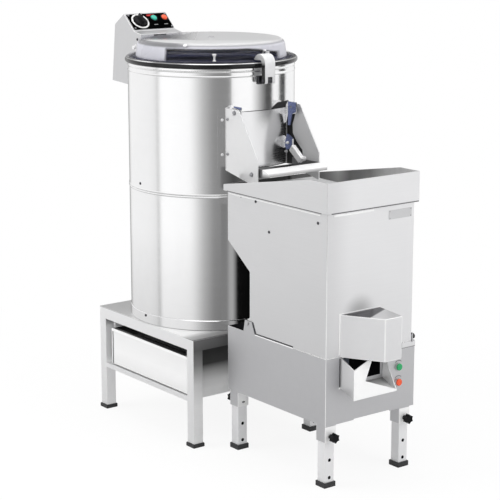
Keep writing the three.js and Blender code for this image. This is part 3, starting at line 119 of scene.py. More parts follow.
# Small node helpers
class Graph:
    def __init__(self, tree):
        self.tree = tree
        tree.nodes.clear()

    def node(self, kind, **values):
        n = self.tree.nodes.new("ShaderNode" + kind)
        for key, value in values.items():
            setattr(n, key, value)
        return n

    def link(self, source, target):
        self.tree.links.new(source, target)

    def value(self, socket, value):
        if isinstance(value, bpy.types.NodeSocket):
            self.link(value, socket)
        else:
            socket.default_value = value

    def fill(self, shader, **values):
        """Feed a node's inputs; an underscore stands for a space."""
        for name, value in values.items():
            self.value(shader.inputs[name.replace("_", " ")], value)
        return shader

    def place(self, output="Object"):
        return self.node("TexCoord").outputs[output]

    def split(self, vector):
        n = self.node("SeparateXYZ")
        self.link(vector, n.inputs[0])
        return n.outputs

    def math(self, operation, a, b=None):
        n = self.node("Math", operation=operation)
        self.value(n.inputs[0], a)
        if b is not None:
            self.value(n.inputs[1], b)
        return n.outputs[0]

    def product(self, first, *others):
        for other in others:
            first = self.math("MULTIPLY", first, other)
        return first

    def vector(self, operation, a, b=None):
        n = self.node("VectorMath", operation=operation)
        self.value(n.inputs[0], a)
        if b is not None:
            self.value(n.inputs[1], b)
        return n.outputs["Value" if operation in ("LENGTH", "DOT_PRODUCT") else "Vector"]

    def ranged(self, value, low, high, to_low, to_high, smooth=False):
        n = self.node("MapRange", interpolation_type="SMOOTHSTEP" if smooth else "LINEAR")
        self.fill(n, Value=value, From_Min=low, From_Max=high, To_Min=to_low, To_Max=to_high)
        return n.outputs["Result"]

    def rising(self, value, low, high):
        return self.ranged(value, low, high, 0.0, 1.0, True)

    def falling(self, value, low, high):
        return self.ranged(value, low, high, 1.0, 0.0, True)

    def colour_mix(self, factor, a, b, blend="MIX"):
        n = self.node("Mix", data_type="RGBA", blend_type=blend)
        self.value(n.inputs["Factor"], factor)
        self.value(n.inputs[6], a)
        self.value(n.inputs[7], b)
        return n.outputs[2]

    def tinted(self, shade, colour=(1.0, 1.0, 1.0)):
        """A shade times each part of a colour."""
        tint = self.node("CombineColor")
        for socket, part in zip(tint.inputs, colour):
            self.link(self.math("MULTIPLY", shade, part), socket)
        return tint.outputs[0]

    def ramp(self, value, stops):
        """Greys through stops of (share of the way, tone)."""
        n = self.node("ValToRGB")
        self.link(value, n.inputs[0])
        points = n.color_ramp.elements
        for point, (share, tone) in zip(points, (stops[0], stops[-1])):
            point.position, point.color = share, grey(tone)
        for share, tone in stops[1:-1]:
            points.new(share).color = grey(tone)
        return n.outputs[0]

    def noise(self, vector, scale, detail=3.0, rough=0.55):
        n = self.node("TexNoise")
        self.fill(n, Vector=vector, Scale=scale, Detail=detail, Roughness=rough)
        return n.outputs[0]

    def drawn(self, vector, scale, detail=3.0, rough=0.55):
        """Noise drawn out along one axis, as brushing leaves it."""
        n = self.node("Mapping")
        self.fill(n, Vector=vector, Scale=scale)
        return self.noise(n.outputs[0], 1.0, detail, rough)

    def normal(self, height, strength, distance, edge=0.0):
        bump = self.node("Bump")
        self.fill(bump, Strength=strength, Distance=distance, Height=height)
        if edge:
            bevel = self.fill(self.node("Bevel", samples=4), Radius=edge)
            self.link(bevel.outputs[0], bump.inputs["Normal"])
        return bump.outputs[0]


def grey(v):
    return (v, v, v, 1.0)


def new_material(name):
    mat = bpy.data.materials.new(name)
    mat.use_nodes = True
    g = Graph(mat.node_tree)
    return mat, g, g.node("OutputMaterial").inputs["Surface"]


def principled(name):
    """A new material with its graph, its shader and the place of each point on the object."""
    mat, g, surface = new_material(name)
    shader = g.node("BsdfPrincipled")
    g.link(shader.outputs[0], surface)
    return mat, g, shader, g.place()


def steel(name, colour, rough, grain, metallic=1.0, spread=0.05, bump=0.03, edge=0.0, smudge=0.04,
          turned_grain=False, tone=0.015):
    """Sheet steel: drawn grain in roughness and bump, cloudy marks from handling."""
    mat, g, s, place = principled(name)
    lines = g.drawn(place, grain, 5.0, 0.6)
    clouds = g.noise(place, 7.0, 4.0, 0.6)
    marks = g.noise(place, 46.0, 6.0, 0.7)
    rough_lines = g.ranged(lines, 0.3, 0.7, rough - spread, rough + spread)
    rough_clouds = g.ranged(clouds, 0.35, 0.7, -smudge * 0.5, smudge)
    shade = g.product(g.ranged(lines, 0.25, 0.75, 1.0 - tone, 1.0 + tone),
                      g.ranged(marks, 0.3, 0.8, 0.985, 1.01))
    g.fill(s, Base_Color=g.tinted(shade, colour), Metallic=metallic,
           Roughness=g.math("ADD", rough_lines, rough_clouds),
           Normal=g.normal(lines, bump, 0.0004, edge))
    if turned_grain:
        tangent = g.node("Tangent", direction_type="RADIAL", axis="Z")
        g.fill(s, Anisotropic=0.6, Tangent=tangent.outputs[0])
    return mat


def body_look(name):
    """Brushed sheet of the cutter's body, with a painted shadow above the spout hood and painted shade along
    its left fold.
    """
    mat, g, s, place = principled(name)
    lines = g.drawn(place, BRUSHED, 5.0, 0.6)
    clouds = g.noise(place, 7.0, 4.0, 0.6)
    hood_shadow_centre, reach = at(CUTTER["front"], -42, 476), (60, 66, 60)
    offset = g.vector("SUBTRACT", place, hood_shadow_centre)
    distance = g.vector("LENGTH", g.vector("MULTIPLY", offset, [1.0 / (v * MM) for v in reach]))
    # Painted shadow: the colour is darkened round a point above the spout hood
    painted_hood_shadow = g.math("SUBTRACT", 1.0, g.product(g.falling(distance, 0.1, 1.0), 0.42))
    left = CUTTER["left"] * MM
    # Painted shade: the colour darkens towards the left fold
    painted_fold_shade = g.ranged(g.split(place)[1], left, left + 0.09, 0.88, 1.0, True)
    shade = g.product(painted_hood_shadow, painted_fold_shade, g.ranged(lines, 0.25, 0.75, 0.985, 1.015))
    g.fill(s, Base_Color=g.tinted(shade, (0.86, 0.86, 0.87)), Metallic=0.82,
           Roughness=g.ranged(clouds, 0.35, 0.7, 0.38, 0.44), Normal=g.normal(lines, 0.01, 0.0004))
    return mat


def graded(name, axis, stops, rough=0.4, metallic=0.4, grain=(8.0, 8.0, 300.0), spread=0.02):
    """Sheet with light and shade painted into its tone along one axis, through stops of millimetres and
    grey.
    """
    mat, g, s, place = principled(name)
    lines = g.drawn(place, grain, 4.0, 0.6)
    shift = SHIFT_X if axis == "x" else 0.0
    low, high = stops[0][0], stops[-1][0]
    reach = g.split(place)["xyz".index(axis)]
    along = g.ranged(reach, (low + shift) * MM, (high + shift) * MM, 0.0, 1.0)
    # Painted light and shade: the grey at each stop along the axis
    tones = g.ramp(along, [((mm - low) / (high - low), tone) for mm, tone in stops])
    shade = g.tinted(g.ranged(lines, 0.25, 0.75, 1.0 - spread, 1.0 + spread))
    g.fill(s, Base_Color=g.colour_mix(1.0, tones, shade, "MULTIPLY"), Metallic=metallic,
           Roughness=g.ranged(lines, 0.3, 0.7, rough - 0.03, rough + 0.03))
    return mat


def hood_top_look(name):
    """Polished top of the spout hood with a painted reflection: dark towards the body, light towards its
    free corner.
    """
    mat, g, s, place = principled(name)
    fine = g.drawn(place, (300.0, 12.0, 12.0), 4.0)
    across = (0.90, 0.43, 0.0)
    edge = at(777.5, -18, 0).dot(Vector(across))
    # Painted reflection: the colour turns from dark to light across a line on the top
    light = g.rising(g.vector("DOT_PRODUCT", place, across), edge - 0.004, edge + 0.004)
    g.fill(s, Base_Color=g.colour_mix(light, (0.10, 0.10, 0.11, 1), (0.80, 0.80, 0.81, 1)),
           Metallic=0.7, Roughness=g.ranged(fine, 0.3, 0.7, 0.28, 0.38), Normal=g.normal(fine, 0.01, 0.0003))
    return mat


def plastic(name, colour, rough, bump=0.08, worn=0.12, coat=0.0, shine=0.5):
    """Moulded plastic or paint: fine grain, colour that varies a little, duller patches."""
    mat, g, s, place = principled(name)
    fine = g.noise(place, 900.0, 4.0, 0.6)
    clouds = g.noise(place, 26.0, 4.0, 0.6)
    light = tuple(min(1.0, c * 1.25 + 0.002) for c in colour[:3]) + (1.0,)
    g.fill(s, Base_Color=g.colour_mix(g.ranged(clouds, 0.3, 0.75, 0.0, 0.6), colour, light),
           Roughness=g.ranged(clouds, 0.3, 0.7, rough - worn * 0.5, rough + worn * 0.5),
           Coat_Weight=coat, Specular_IOR_Level=shine, Normal=g.normal(fine, bump, 0.0003, 0.001))
    return mat


def cast_metal(name, colour, rough, metallic):
    """Cast and blasted metal: pits and a soft mottled tone."""
    mat, g, s, place = principled(name)
    pits = g.noise(place, 420.0, 6.0, 0.7)
    clouds = g.noise(place, 30.0, 5.0, 0.6)
    dark = tuple(c * 0.86 for c in colour[:3]) + (1.0,)
    g.fill(s, Base_Color=g.colour_mix(g.ranged(clouds, 0.3, 0.7, 0.0, 1.0), dark, colour),
           Roughness=g.ranged(pits, 0.3, 0.7, rough - 0.06, rough + 0.08), Metallic=metallic,
           Normal=g.normal(pits, 0.16, 0.0006, 0.0012))
    return mat


def grit(name):
    """Abrasive coating: dark grains bonded in a blue-grey resin."""
    mat, g, s, place = principled(name)
    grains = g.fill(g.node("TexVoronoi", feature="F1"), Vector=place, Scale=520.0)
    size = grains.outputs["Distance"]
    resin, grain = (0.10, 0.115, 0.17, 1), (0.018, 0.022, 0.045, 1)
    g.fill(s, Base_Color=g.colour_mix(g.ranged(size, 0.1, 0.6, 0.0, 1.0), resin, grain),
           Roughness=0.82, Normal=g.normal(size, 0.55, 0.0012))
    return mat


def liner_look(name):
    """Ribbed liner: dark navy coating that shines along its ribs, with lighter streaks painted in as rib
    highlights.
    """
    mat, g, s, place = principled(name)
    grains = g.noise(place, 700.0, 5.0, 0.7)
    rib_highlight_streaks = g.ranged(g.drawn(place, (6.0, 6.0, 160.0)), 0.35, 0.65, 0.0, 1.0)
    g.fill(s, Base_Color=g.colour_mix(rib_highlight_streaks, (0.010, 0.013, 0.050, 1), (0.055, 0.06, 0.15, 1)),
           Roughness=g.ranged(grains, 0.3, 0.7, 0.28, 0.5), Normal=g.normal(grains, 0.12, 0.0005))
    return mat


def clear_look(name):
    """Clear polycarbonate: a top and ends that are frosted and carry a painted reflection, and a clear
    window in its front wall.

    The frosting and painted reflection are set in the lid's own frame, by height and by the angle about the
    drum's axis, with a painted dark reflection on the left shoulder.
    """
    mat, g, s, place = principled(name)
    x, y, z = g.split(place)
    seat = (DRUM["top"] + DRUM["rim_cap"]) * MM
    angle = g.math("ARCTAN2", y, x)

    def past(start, end):
        return g.rising(angle, math.radians(start), math.radians(end))

    def before(start, end):
        return g.falling(angle, math.radians(start), math.radians(end))

    def across(towards_x, towards_y):
        return g.math("ADD", g.math("MULTIPLY", x, towards_x), g.math("MULTIPLY", y, towards_y))

    limit = g.ranged(angle, math.radians(-10), math.radians(28), seat + 0.0375, seat + 0.022, True)
    low = g.falling(g.math("SUBTRACT", z, limit), -0.0035, 0.0035)
    window = g.product(past(-74, -71), before(22, 30), low)
    right = g.ranged(across(0.79, -0.61), 0.02, 0.115, 0.10, 1.0, True)
    rear = g.ranged(across(-0.61, -0.79), 0.02, 0.16, 0.9, 0.0, True)
    on_top = g.rising(z, seat + 0.040, seat + 0.050)
    cloud = g.ranged(g.noise(place, 9.0), 0.3, 0.7, 0.74, 0.86)
    streak = g.ranged(g.drawn(place, (3.0, 3.0, 200.0)), 0.45, 0.62, 0.01, 0.07)
    # Frosting and painted reflection of the studio's light on the top and the ends
    ends = g.product(g.math("SUBTRACT", 1.0, window), cloud)
    top_frost_and_sheen = g.product(on_top, g.math("MAXIMUM", right, rear), 0.94)
    frost_and_sheen = g.math("MAXIMUM", top_frost_and_sheen, g.product(ends, g.math("SUBTRACT", 1.0, on_top)))
    # Painted dark reflection of the console on the lid's left shoulder
    turn = g.product(g.rising(z, seat + 0.036, seat + 0.042),
                     g.falling(z, seat + 0.0500, seat + 0.0522), past(-122, -112), before(-66, -50))
    tone = g.colour_mix(on_top, (0.66, 0.66, 0.72, 1), (0.62, 0.62, 0.625, 1))
    g.fill(s, Base_Color=g.colour_mix(turn, tone, (0.20, 0.20, 0.21, 1)),
           Alpha=g.math("MAXIMUM", g.math("MAXIMUM", frost_and_sheen, streak), g.product(turn, 0.9)),
           Roughness=g.ranged(frost_and_sheen, 0.0, 1.0, 0.05, 0.34), Specular_IOR_Level=0.5,
           Normal=g.normal(g.noise(place, 240.0), 0.02, 0.0003))
    return mat


def clear_flange(name):
    """The lid's thin clear flange: nearly invisible from the front, with a glint along its edge."""
    mat, g, s, place = principled(name)
    streak = g.drawn(place, (40.0, 40.0, 3.0))
    g.fill(s, Base_Color=(0.30, 0.30, 0.38, 1), Alpha=g.ranged(streak, 0.3, 0.7, 0.06, 0.16),
           Roughness=g.ranged(streak, 0.3, 0.7, 0.04, 0.10))
    return mat


def glossy_black(name):
    """Polished rim: near black with turning marks, and a painted highlight of bright metal where its roll
    turns upwards.
    """
    mat, g, s, place = principled(name)
    lines = g.drawn(place, (4.0, 4.0, 1200.0), 4.0)
    patches = g.drawn(place, (7.0, 7.0, 0.1), 2.0)
    up = g.split(g.place("Normal"))[2]
    # Painted highlight: bright metal on the band of the roll whose normal points up, broken into patches
    shine = g.product(g.rising(up, 0.50, 0.66), g.falling(up, 0.80, 0.93),
                      g.ranged(patches, 0.38, 0.62, 0.25, 1.0, True))
    marks = g.ranged(lines, 0.3, 0.7, 0.0, 1.0)
    black = g.colour_mix(marks, (0.003, 0.003, 0.0035, 1), (0.012, 0.012, 0.013, 1))
    g.fill(s, Base_Color=g.colour_mix(shine, black, (0.92, 0.92, 0.93, 1)),
           Metallic=g.product(shine, 0.9), IOR=1.42, Roughness=g.ranged(lines, 0.3, 0.7, 0.09, 0.15),
           Normal=g.normal(lines, 0.02, 0.0003))
    return mat


# How far the grain of sheet is drawn out, per axis
SHORT = (8.0, 8.0, 120.0)
MEDIUM = (8.0, 8.0, 300.0)
BRUSHED = (8.0, 8.0, 600.0)
FINE = (300.0, 300.0, 300.0)

LOOKS = {
    "drum": steel("drum_polished", (0.985, 0.985, 0.99), 0.13, (2.0, 2.0, 700.0), spread=0.03,
                  bump=0.015, turned_grain=True, smudge=0.02),
    "polished_steel": steel("stand_steel", (0.94, 0.94, 0.945), 0.32, SHORT, metallic=0.75,
                            spread=0.03, bump=0.01, tone=0.008, smudge=0.01),
    # Painted shade on the stand frame's right side, dark towards the top
    "stand_side": graded("stand_side", "z", ((120, 0.88), (190, 0.70), (250, 0.26), (292, 0.13),
                                             (326, 0.20)), 0.4, 0.3),
    # Painted light and shade across the stand top, light in the middle and dark at its right edge
    "stand_sheet": graded("stand_sheet", "x", ((-250, 0.62), (0, 0.78), (110, 0.94), (190, 0.92),
                                               (222, 0.42), (250, 0.30)), 0.35, 0.5, SHORT, 0.01),
    # Painted shade on the drawer bay's right side, near black towards its top
    "bay_side": graded("bay_side", "z", ((160, 0.86), (185, 0.74), (210, 0.45), (236, 0.035),
                                         (300, 0.008)), 0.4, 0.2),
    "leg_steel": steel("leg_steel", (0.86, 0.86, 0.87), 0.42, SHORT, metallic=0.4, bump=0.01,
                       tone=0.008),
    # Painted highlight on the cutter body's folds, bright low down and dimmer towards the top
    "body_fold": graded("body_fold", "z", ((364, 0.95), (560, 0.92), (660, 0.62), (760, 0.62)),
                        0.35, 0.3),
    # Painted highlight on the tray's lip, with painted shade beneath it
    "tray_lip": graded("tray_lip", "z", ((800, 0.10), (806, 0.34), (811, 0.62), (815, 0.93),
                                         (824, 0.90)), 0.3, 0.3),
    # Painted shade in the scoop's mouth, dark by the body and lighter outwards
    "scoop_floor": graded("scoop_floor", "x", ((729, 0.08), (745, 0.30), (762, 0.60), (785, 0.85)),
                          0.35, 0.3),
    # Painted light and shade up the scoop's cheek, near black under the hood
    "scoop_cheek": graded("scoop_cheek", "z", ((262, 0.85), (300, 0.95), (325, 0.70), (345, 0.10),
                                               (352, 0.03)), 0.35, 0.3),
    # Painted dark reflection on the hook arm's side, lighter towards its top
    "hook_side": graded("hook_side", "z", ((1040, 0.008), (1098, 0.010), (1110, 0.42), (1131, 0.60)),
                        0.25, 0.2),
    "inner_shade": graded("inner_shade", "z", ((153, 0.30), (235, 0.10), (266, 0.05)), 0.45, 0.6),
    "console_steel": steel("console_steel", (0.66, 0.66, 0.67), 0.42, MEDIUM, metallic=0.8, bump=0.01),
    "foot_rubber": plastic("foot_rubber", (0.030, 0.030, 0.032, 1), 0.5, shine=0.4),
    "hook_grey": cast_metal("hook_white_cast", (0.80, 0.80, 0.81, 1), 0.36, 0.15),
    "satin_steel": steel("satin_steel", (0.74, 0.74, 0.75), 0.42, BRUSHED, metallic=0.85, bump=0.04),
    "plate_steel": steel("outlet_plate_steel", (0.80, 0.80, 0.805), 0.45, BRUSHED, metallic=0.5,
                         spread=0.04, bump=0.02),
    # The cutter's body sheet, with a painted shadow above the hood and painted shade by its left fold
    "cutter_steel": body_look("cutter_body_steel"),
    "base_steel": steel("cutter_base_steel", (0.64, 0.64, 0.655), 0.40, BRUSHED, metallic=0.85,
                        bump=0.01, spread=0.03),
    # Painted shade and reflection inside the hopper, in bands along x
    "hopper_inside": graded("hopper_inside", "x", ((286, 0.10), (330, 0.16), (400, 0.40), (450, 0.18),
                                                   (540, 0.24), (600, 0.42), (735, 0.50)),
                            0.3, 0.5, (20.0, 20.0, 3.0), 0.08),
    "hood_steel": steel("hood_steel", (0.80, 0.80, 0.81), 0.34, SHORT, metallic=0.7, bump=0.0,
                        tone=0.006, smudge=0.01),
    "hood_top": hood_top_look("hood_top"),
    # Painted light down the drawer's front, with a painted highlight on its lip
    "drawer_steel": graded("drawer_steel", "z", ((153, 0.84), (200, 0.90), (256, 0.84), (260, 0.97),
                                                 (266, 0.97)), 0.4, 0.2, SHORT, 0.01),
    "door_steel": steel("door_steel", (0.90, 0.90, 0.91), 0.24, (2.0, 2.0, 500.0), bump=0.01),
    # Near-white satin: painted highlight on folds, edges and socket faces; also the lever's grip cap
    "fold_bright": steel("fold_bright", (0.96, 0.96, 0.96), 0.35, (40.0, 40.0, 40.0), metallic=0.2,
                         bump=0.0, tone=0.01, smudge=0.01),
    # Dark steel for painted shade: the outlet tray, under the hopper's overhang, seams and the socket's slot
    "painted_shade_steel": steel("painted_shade_steel", (0.20, 0.20, 0.205), 0.35, BRUSHED, bump=0.02),
    "name_plate": steel("plate_aluminium", (0.62, 0.62, 0.63), 0.34, (6.0, 300.0, 6.0), metallic=0.6),
    "polished_rim": glossy_black("rim_polished"),
    "clear_flange": clear_flange("lid_flange_clear"),
    "blue_steel": steel("lever_steel", (0.17, 0.20, 0.36), 0.24, (3.0, 3.0, 900.0), bump=0.02),
    "fastener": steel("fastener_zinc", (0.42, 0.42, 0.44), 0.3, FINE, spread=0.08, bump=0.05,
                      edge=0.0004),
    "dark_fastener": steel("fastener_dark", (0.10, 0.10, 0.11), 0.35, FINE, spread=0.08, bump=0.05,
                           edge=0.0004),
    "cast_grey": cast_metal("hook_cast", (0.52, 0.52, 0.53, 1), 0.42, 0.35),
    "grip_white": cast_metal("lever_grip", (0.86, 0.86, 0.87, 1), 0.3, 0.1),
    "motor_grey": cast_metal("motor_paint", (0.10, 0.12, 0.16, 1), 0.55, 0.1),
    "dark_liner": liner_look("liner_navy"),
    "grit_disc": grit("disc_grit"),
    "belt_rubber": plastic("belt_rubber", (0.012, 0.012, 0.013, 1), 0.62),
    "black_plastic": plastic("black_plastic", (0.003, 0.003, 0.004, 1), 0.12, worn=0.02, shine=0.15),
    "panel_black": plastic("panel_black", (0.0012, 0.0012, 0.0012, 1), 0.5, bump=0.03, shine=0.0),
    "mark_grey": plastic("mark_grey", (0.30, 0.30, 0.30, 1), 0.5, bump=0.02, shine=0.2),
    "white_plastic": plastic("white_plastic", (0.72, 0.72, 0.71, 1), 0.4, bump=0.03),
    "lamp_red": plastic("lamp_red", (0.42, 0.012, 0.010, 1), 0.25, bump=0.02),
    "green_plastic": plastic("start_green", (0.002, 0.32, 0.10, 1), 0.3, bump=0.03, coat=0.3),
    "green_lit": plastic("start_teal", (0.03, 0.42, 0.32, 1), 0.3, bump=0.03, coat=0.3),
    "red_plastic": plastic("stop_red", (0.80, 0.085, 0.02, 1), 0.3, bump=0.03, coat=0.3),
    "clear_lid": clear_look("lid_clear"),
    # Near black for painted shade in recesses, holes and openings
    "painted_shade_black": plastic("painted_recess_shade", (0.003, 0.003, 0.004, 1), 0.7, worn=0.02, shine=0.02),
}


# Mesh helpers
def fit(obj, look, body="frame", slot="polished_steel", angle=32.0, replaces=(), fold=None):
    """Give a piece its look and its body. Faces that meet below the angle shade smooth."""
    marks = [face.material_index for face in obj.data.polygons]
    obj.data.materials.clear()
    obj.data.materials.append(LOOKS[look])
    if angle:
        obj.data.shade_smooth()
        obj.data.set_sharp_from_angle(angle=math.radians(angle))
    else:
        obj.data.shade_flat()
    if fold:
        obj.data.materials.append(LOOKS[fold])
        obj.data.polygons.foreach_set("material_index", marks)
    SCENE.collection.objects.link(obj)
    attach(obj, body)
    if replaces:
        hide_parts(*replaces)
    return obj


def paint(obj, look, x=(-INF, INF), y=(-INF, INF), z=(-INF, INF), facing=None):
    """A second look on the faces with their middle in a box of the drawing frame, facing one way."""
    obj.data.materials.append(LOOKS[look])
    for face in obj.data.polygons:
        middle = obj.matrix_world @ face.center
        spot = (middle.x / MM - SHIFT_X, middle.y / MM, middle.z / MM)
        inside = all(low < v < high for v, (low, high) in zip(spot, (x, y, z)))
        if inside and not (facing and face.normal.dot(Vector(facing)) < 0.9):
            face.material_index = len(obj.data.materials) - 1


def from_bmesh(name, bm, origin=(0, 0, 0)):
    bmesh.ops.recalc_face_normals(bm, faces=bm.faces)
    mesh = bpy.data.meshes.new(name)
    bm.to_mesh(mesh)
    bm.free()
    obj = bpy.data.objects.new(name, mesh)
    obj.location = origin
    return obj


def rounded(obj, width, segments=3, angle=30.0):
    m = obj.modifiers.new("edges", "BEVEL")
    m.width = width * MM
    m.segments = segments
    m.limit_method = "ANGLE"
    m.angle_limit = math.radians(angle)
    m.harden_normals = True
    return obj


def revolve(bm, profile, segs, closed):
    """Rings of a profile of (radius, height) about Z; a radius of zero ends in one point."""
    rings = []
    for r, z in profile:
        turns = [2 * math.pi * i / segs for i in range(segs)] if r > 1e-6 else [0.0]
        rings.append([bm.verts.new((r * math.cos(t), r * math.sin(t), z)) for t in turns])
    pairs = list(zip(rings, rings[1:]))
    if closed:
        pairs.append((rings[-1], rings[0]))
    for a, b in pairs:
        if len(a) == 1 and len(b) == 1:
            continue
        for i in range(segs):
            j = (i + 1) % segs
            if len(a) == 1:
                bm.faces.new((a[0], b[i], b[j]))
            elif len(b) == 1:
                bm.faces.new((a[i], b[0], a[j]))
            else:
                bm.faces.new((a[i], b[i], b[j], a[j]))


def sweep(bm, sections):
    """Closed sections of points, joined one to the next and capped at both ends."""
    rings = [[bm.verts.new(point) for point in section] for section in sections]
    for a, b in zip(rings, rings[1:]):
        for i in range(len(a)):
            j = (i + 1) % len(a)
            bm.faces.new((a[i], a[j], b[j], b[i]))
    bm.faces.new(rings[0])
    bm.faces.new(rings[-1])


def lathe(name, profile):
    """A closed body turned about the drum's axis."""
    bm = bmesh.new()
    revolve(bm, [(r * MM, z * MM) for r, z in profile], 160, profile[0][0] > 0)
    return from_bmesh(name, bm, at(0, 0, 0))


def drum_sheet(name, profile, thickness, window=True, outwards=False):
    """A turned sheet with the outlet window left open, thickened to one side.

    Rings of points close to each edge and bead keep the smooth shading of the wall even.
    """
    segs, rest, close = 160, 1.0, 1e-6
    half = math.asin(WINDOW["half"] / DRUM["r"])
    turn = rest / DRUM["r"]
    angles = sorted({-half - turn, -half, half, half + turn}
                    | {-math.pi + 2 * math.pi * i / segs for i in range(segs)})
    heights = {z for _, z in profile}
    for (_, z0), (_, z1) in zip(profile, profile[1:]):
        if z1 - z0 > 8:
            heights |= {z0 + rest, z1 - rest}
    if window:
        heights |= {WINDOW["low"] - rest, WINDOW["low"], WINDOW["high"], WINDOW["high"] + rest}
    heights = sorted(heights)

    def radius_at(z):
        for (r0, z0), (r1, z1) in zip(profile, profile[1:]):
            if z0 <= z <= z1:
                return r0 + (r1 - r0) * (z - z0) / (z1 - z0) if z1 > z0 else r0
        return profile[-1][0]

    bm = bmesh.new()
    grid = [[bm.verts.new((radius_at(z) * MM * math.cos(a), radius_at(z) * MM * math.sin(a), z * MM))
             for a in angles] for z in heights]
    for row, (z0, z1) in enumerate(zip(heights, heights[1:])):
        level = window and z0 >= WINDOW["low"] - close and z1 <= WINDOW["high"] + close
        for i, a in enumerate(angles):
            j = (i + 1) % len(angles)
            if not (level and -half <= a + 1e-4 < half):
                bm.faces.new((grid[row][i], grid[row][j], grid[row + 1][j], grid[row + 1][i]))
    bmesh.ops.delete(bm, geom=[v for v in bm.verts if not v.link_faces], context="VERTS")
    obj = from_bmesh(name, bm, at(0, 0, 0))
    m = obj.modifiers.new("wall", "SOLIDIFY")
    m.thickness = thickness * MM
    m.offset = 1.0 if outwards else -1.0
    return obj


def bead(z):
    """Rolled bead in a drum's profile."""
    steps = (-1.0, -0.75, -0.5, -0.25, 0.0, 0.25, 0.5, 0.75, 1.0)
    return [(DRUM["r"] + DRUM["bead"] * (0.5 + 0.5 * math.cos(math.pi * t)),
             z + DRUM["bead_h"] * 0.5 * t) for t in steps]


def turned(name, profile, places, segs=24):
    """One small turned form, repeated at each (point, direction)."""
    bm = bmesh.new()
    for point, direction in places:
        part = bmesh.new()
        revolve(part, [(r * MM, h * MM) for r, h in profile], segs, False)
        turn = Vector(direction).to_track_quat("Z", "Y").to_matrix().to_4x4()
        turn.translation = Vector(point)
        part.transform(turn)
        temp = bpy.data.meshes.new("part")
        part.to_mesh(temp)
        part.free()
        bm.from_mesh(temp)
        bpy.data.meshes.remove(temp)
    return from_bmesh(name, bm)


def prism(name, outline, axis, low, high):
    """An outline pulled along an axis: x takes (y, z), y takes (x, z), z takes (x, y).

    The axis "panel" stands square on the console's sloped face, and "free" about the origin.
    """
    place = {"x": lambda u, v, w: at(w, u, v), "y": lambda u, v, w: at(u, w, v), "z": at,
             "panel": lambda u, v, w: on_panel(u, v, w),
             "free": lambda u, v, w: Vector((u, v, w)) * MM}[axis]
    bm = bmesh.new()
    a = [bm.verts.new(place(u, v, low)) for u, v in outline]
    b = [bm.verts.new(place(u, v, high)) for u, v in outline]
    bm.faces.new(a)
    bm.faces.new(b)
    for i in range(len(outline)):
        j = (i + 1) % len(outline)
        bm.faces.new((a[i], a[j], b[j], b[i]))
    return from_bmesh(name, bm)


def on_panel(u, v, w):
    return TILT @ (Vector((u, v, w)) * MM)


def carve(obj, cutter):
    """Cut one closed form out of another and drop the cutter."""
    objects = SCENE.collection.objects
    objects.link(obj)
    objects.link(cutter)
    m = obj.modifiers.new("cut", "BOOLEAN")
    m.object = cutter
    m.solver = "EXACT"
    bpy.context.view_layer.update()
    cut = obj.evaluated_get(bpy.context.evaluated_depsgraph_get())
    result = bpy.data.meshes.new_from_object(cut)
    obj.modifiers.clear()
    obj.data = result
    objects.unlink(obj)
    bpy.data.objects.remove(cutter)


def round_folds(bm, radius):
    """Round the outer folds of a bent sheet; their strips carry the second look, mostly a painted highlight.
    """
    sharp, shortest, narrowest = 0.35, 0.02, 0.005
    folds = []
    for e in bm.edges:
        if len(e.link_faces) != 2 or e.calc_face_angle_signed(0.0) < sharp:
            continue
        length = e.calc_length()
        if length > shortest and min(f.calc_area() for f in e.link_faces) / length > narrowest:
            folds.append(e)
    bmesh.ops.bevel(bm, geom=folds, offset=radius * MM, offset_type="OFFSET", segments=3, profile=0.5,
                    affect="EDGES", clamp_overlap=True, material=1)


def copy_of(node, fold=0.0):
    """The form of a CAD node as a piece of its own, so that its round faces can be shaded smooth.

    The cutter's base is parted at the foot of its skirt, so that each side has a look of its own.
    """
    bm = bmesh.new()
    bm.from_mesh(NODES[node].data)
    bmesh.ops.remove_doubles(bm, verts=bm.verts, dist=1e-6)
    bm.transform(NODES[node].matrix_world)
    skirt = at(0, 0, 173.4)
    if node == "cutter_base":
        bmesh.ops.bisect_plane(bm, geom=bm.verts[:] + bm.edges[:] + bm.faces[:], plane_co=skirt,
                               plane_no=(0, 0, 1))
    keep = [e for e in bm.edges if not all(abs(v.co.z - skirt.z) < 1e-6 for v in e.verts)]
    bmesh.ops.dissolve_limit(bm, angle_limit=math.radians(0.5), verts=[], edges=keep)
    if fold:
        round_folds(bm, fold)
    bmesh.ops.triangulate(bm, faces=[f for f in bm.faces if len(f.verts) > 4])
    return from_bmesh("look_" + node, bm)


NODE_LOOKS = {
    "outlet_door": "door_steel", "star_knob_front_left": "black_plastic",
    "star_knob_front_right": "black_plastic", "star_knob_rear_left": "black_plastic",
    "star_knob_rear_right": "black_plastic", "motor": "motor_grey", "motor_pulley": "motor_grey",
    "driven_pulley": "motor_grey", "drive_belt": "belt_rubber", "bearing_housing": "cast_grey",
    "cutter_rotor": "cast_grey", "rotor_duct": "satin_steel", "gear_motor": "motor_grey",
    "drain_pan": "satin_steel", "main_shaft": "satin_steel", "peeling_disc": "grit_disc",
    "body_latch_knob": "black_plastic", "lid_strap_left": "polished_steel",
    "lid_strap_right": "polished_steel", "lid_hinge_rod": "polished_steel",
    "hook_bracket": "dark_fastener", "timer_knob": "black_plastic", "stand_frame": "polished_steel",
    "stand_top": "stand_sheet", "filter_drawer": "drawer_steel", "filter_strainer": "inner_shade",
    # The outlet tray's dark steel is painted shade
    "drawer_bay": "satin_steel", "console_housing": "console_steel", "outlet_tray": "painted_shade_steel",
    "cutter_base": "base_steel", "cutter_body": "cutter_steel", "hopper": "cutter_steel",
    "spout_hood": "hood_steel", "spout_scoop": "hood_steel", "knife_grid": "polished_steel",
    "motor_bridge": "polished_steel",
}

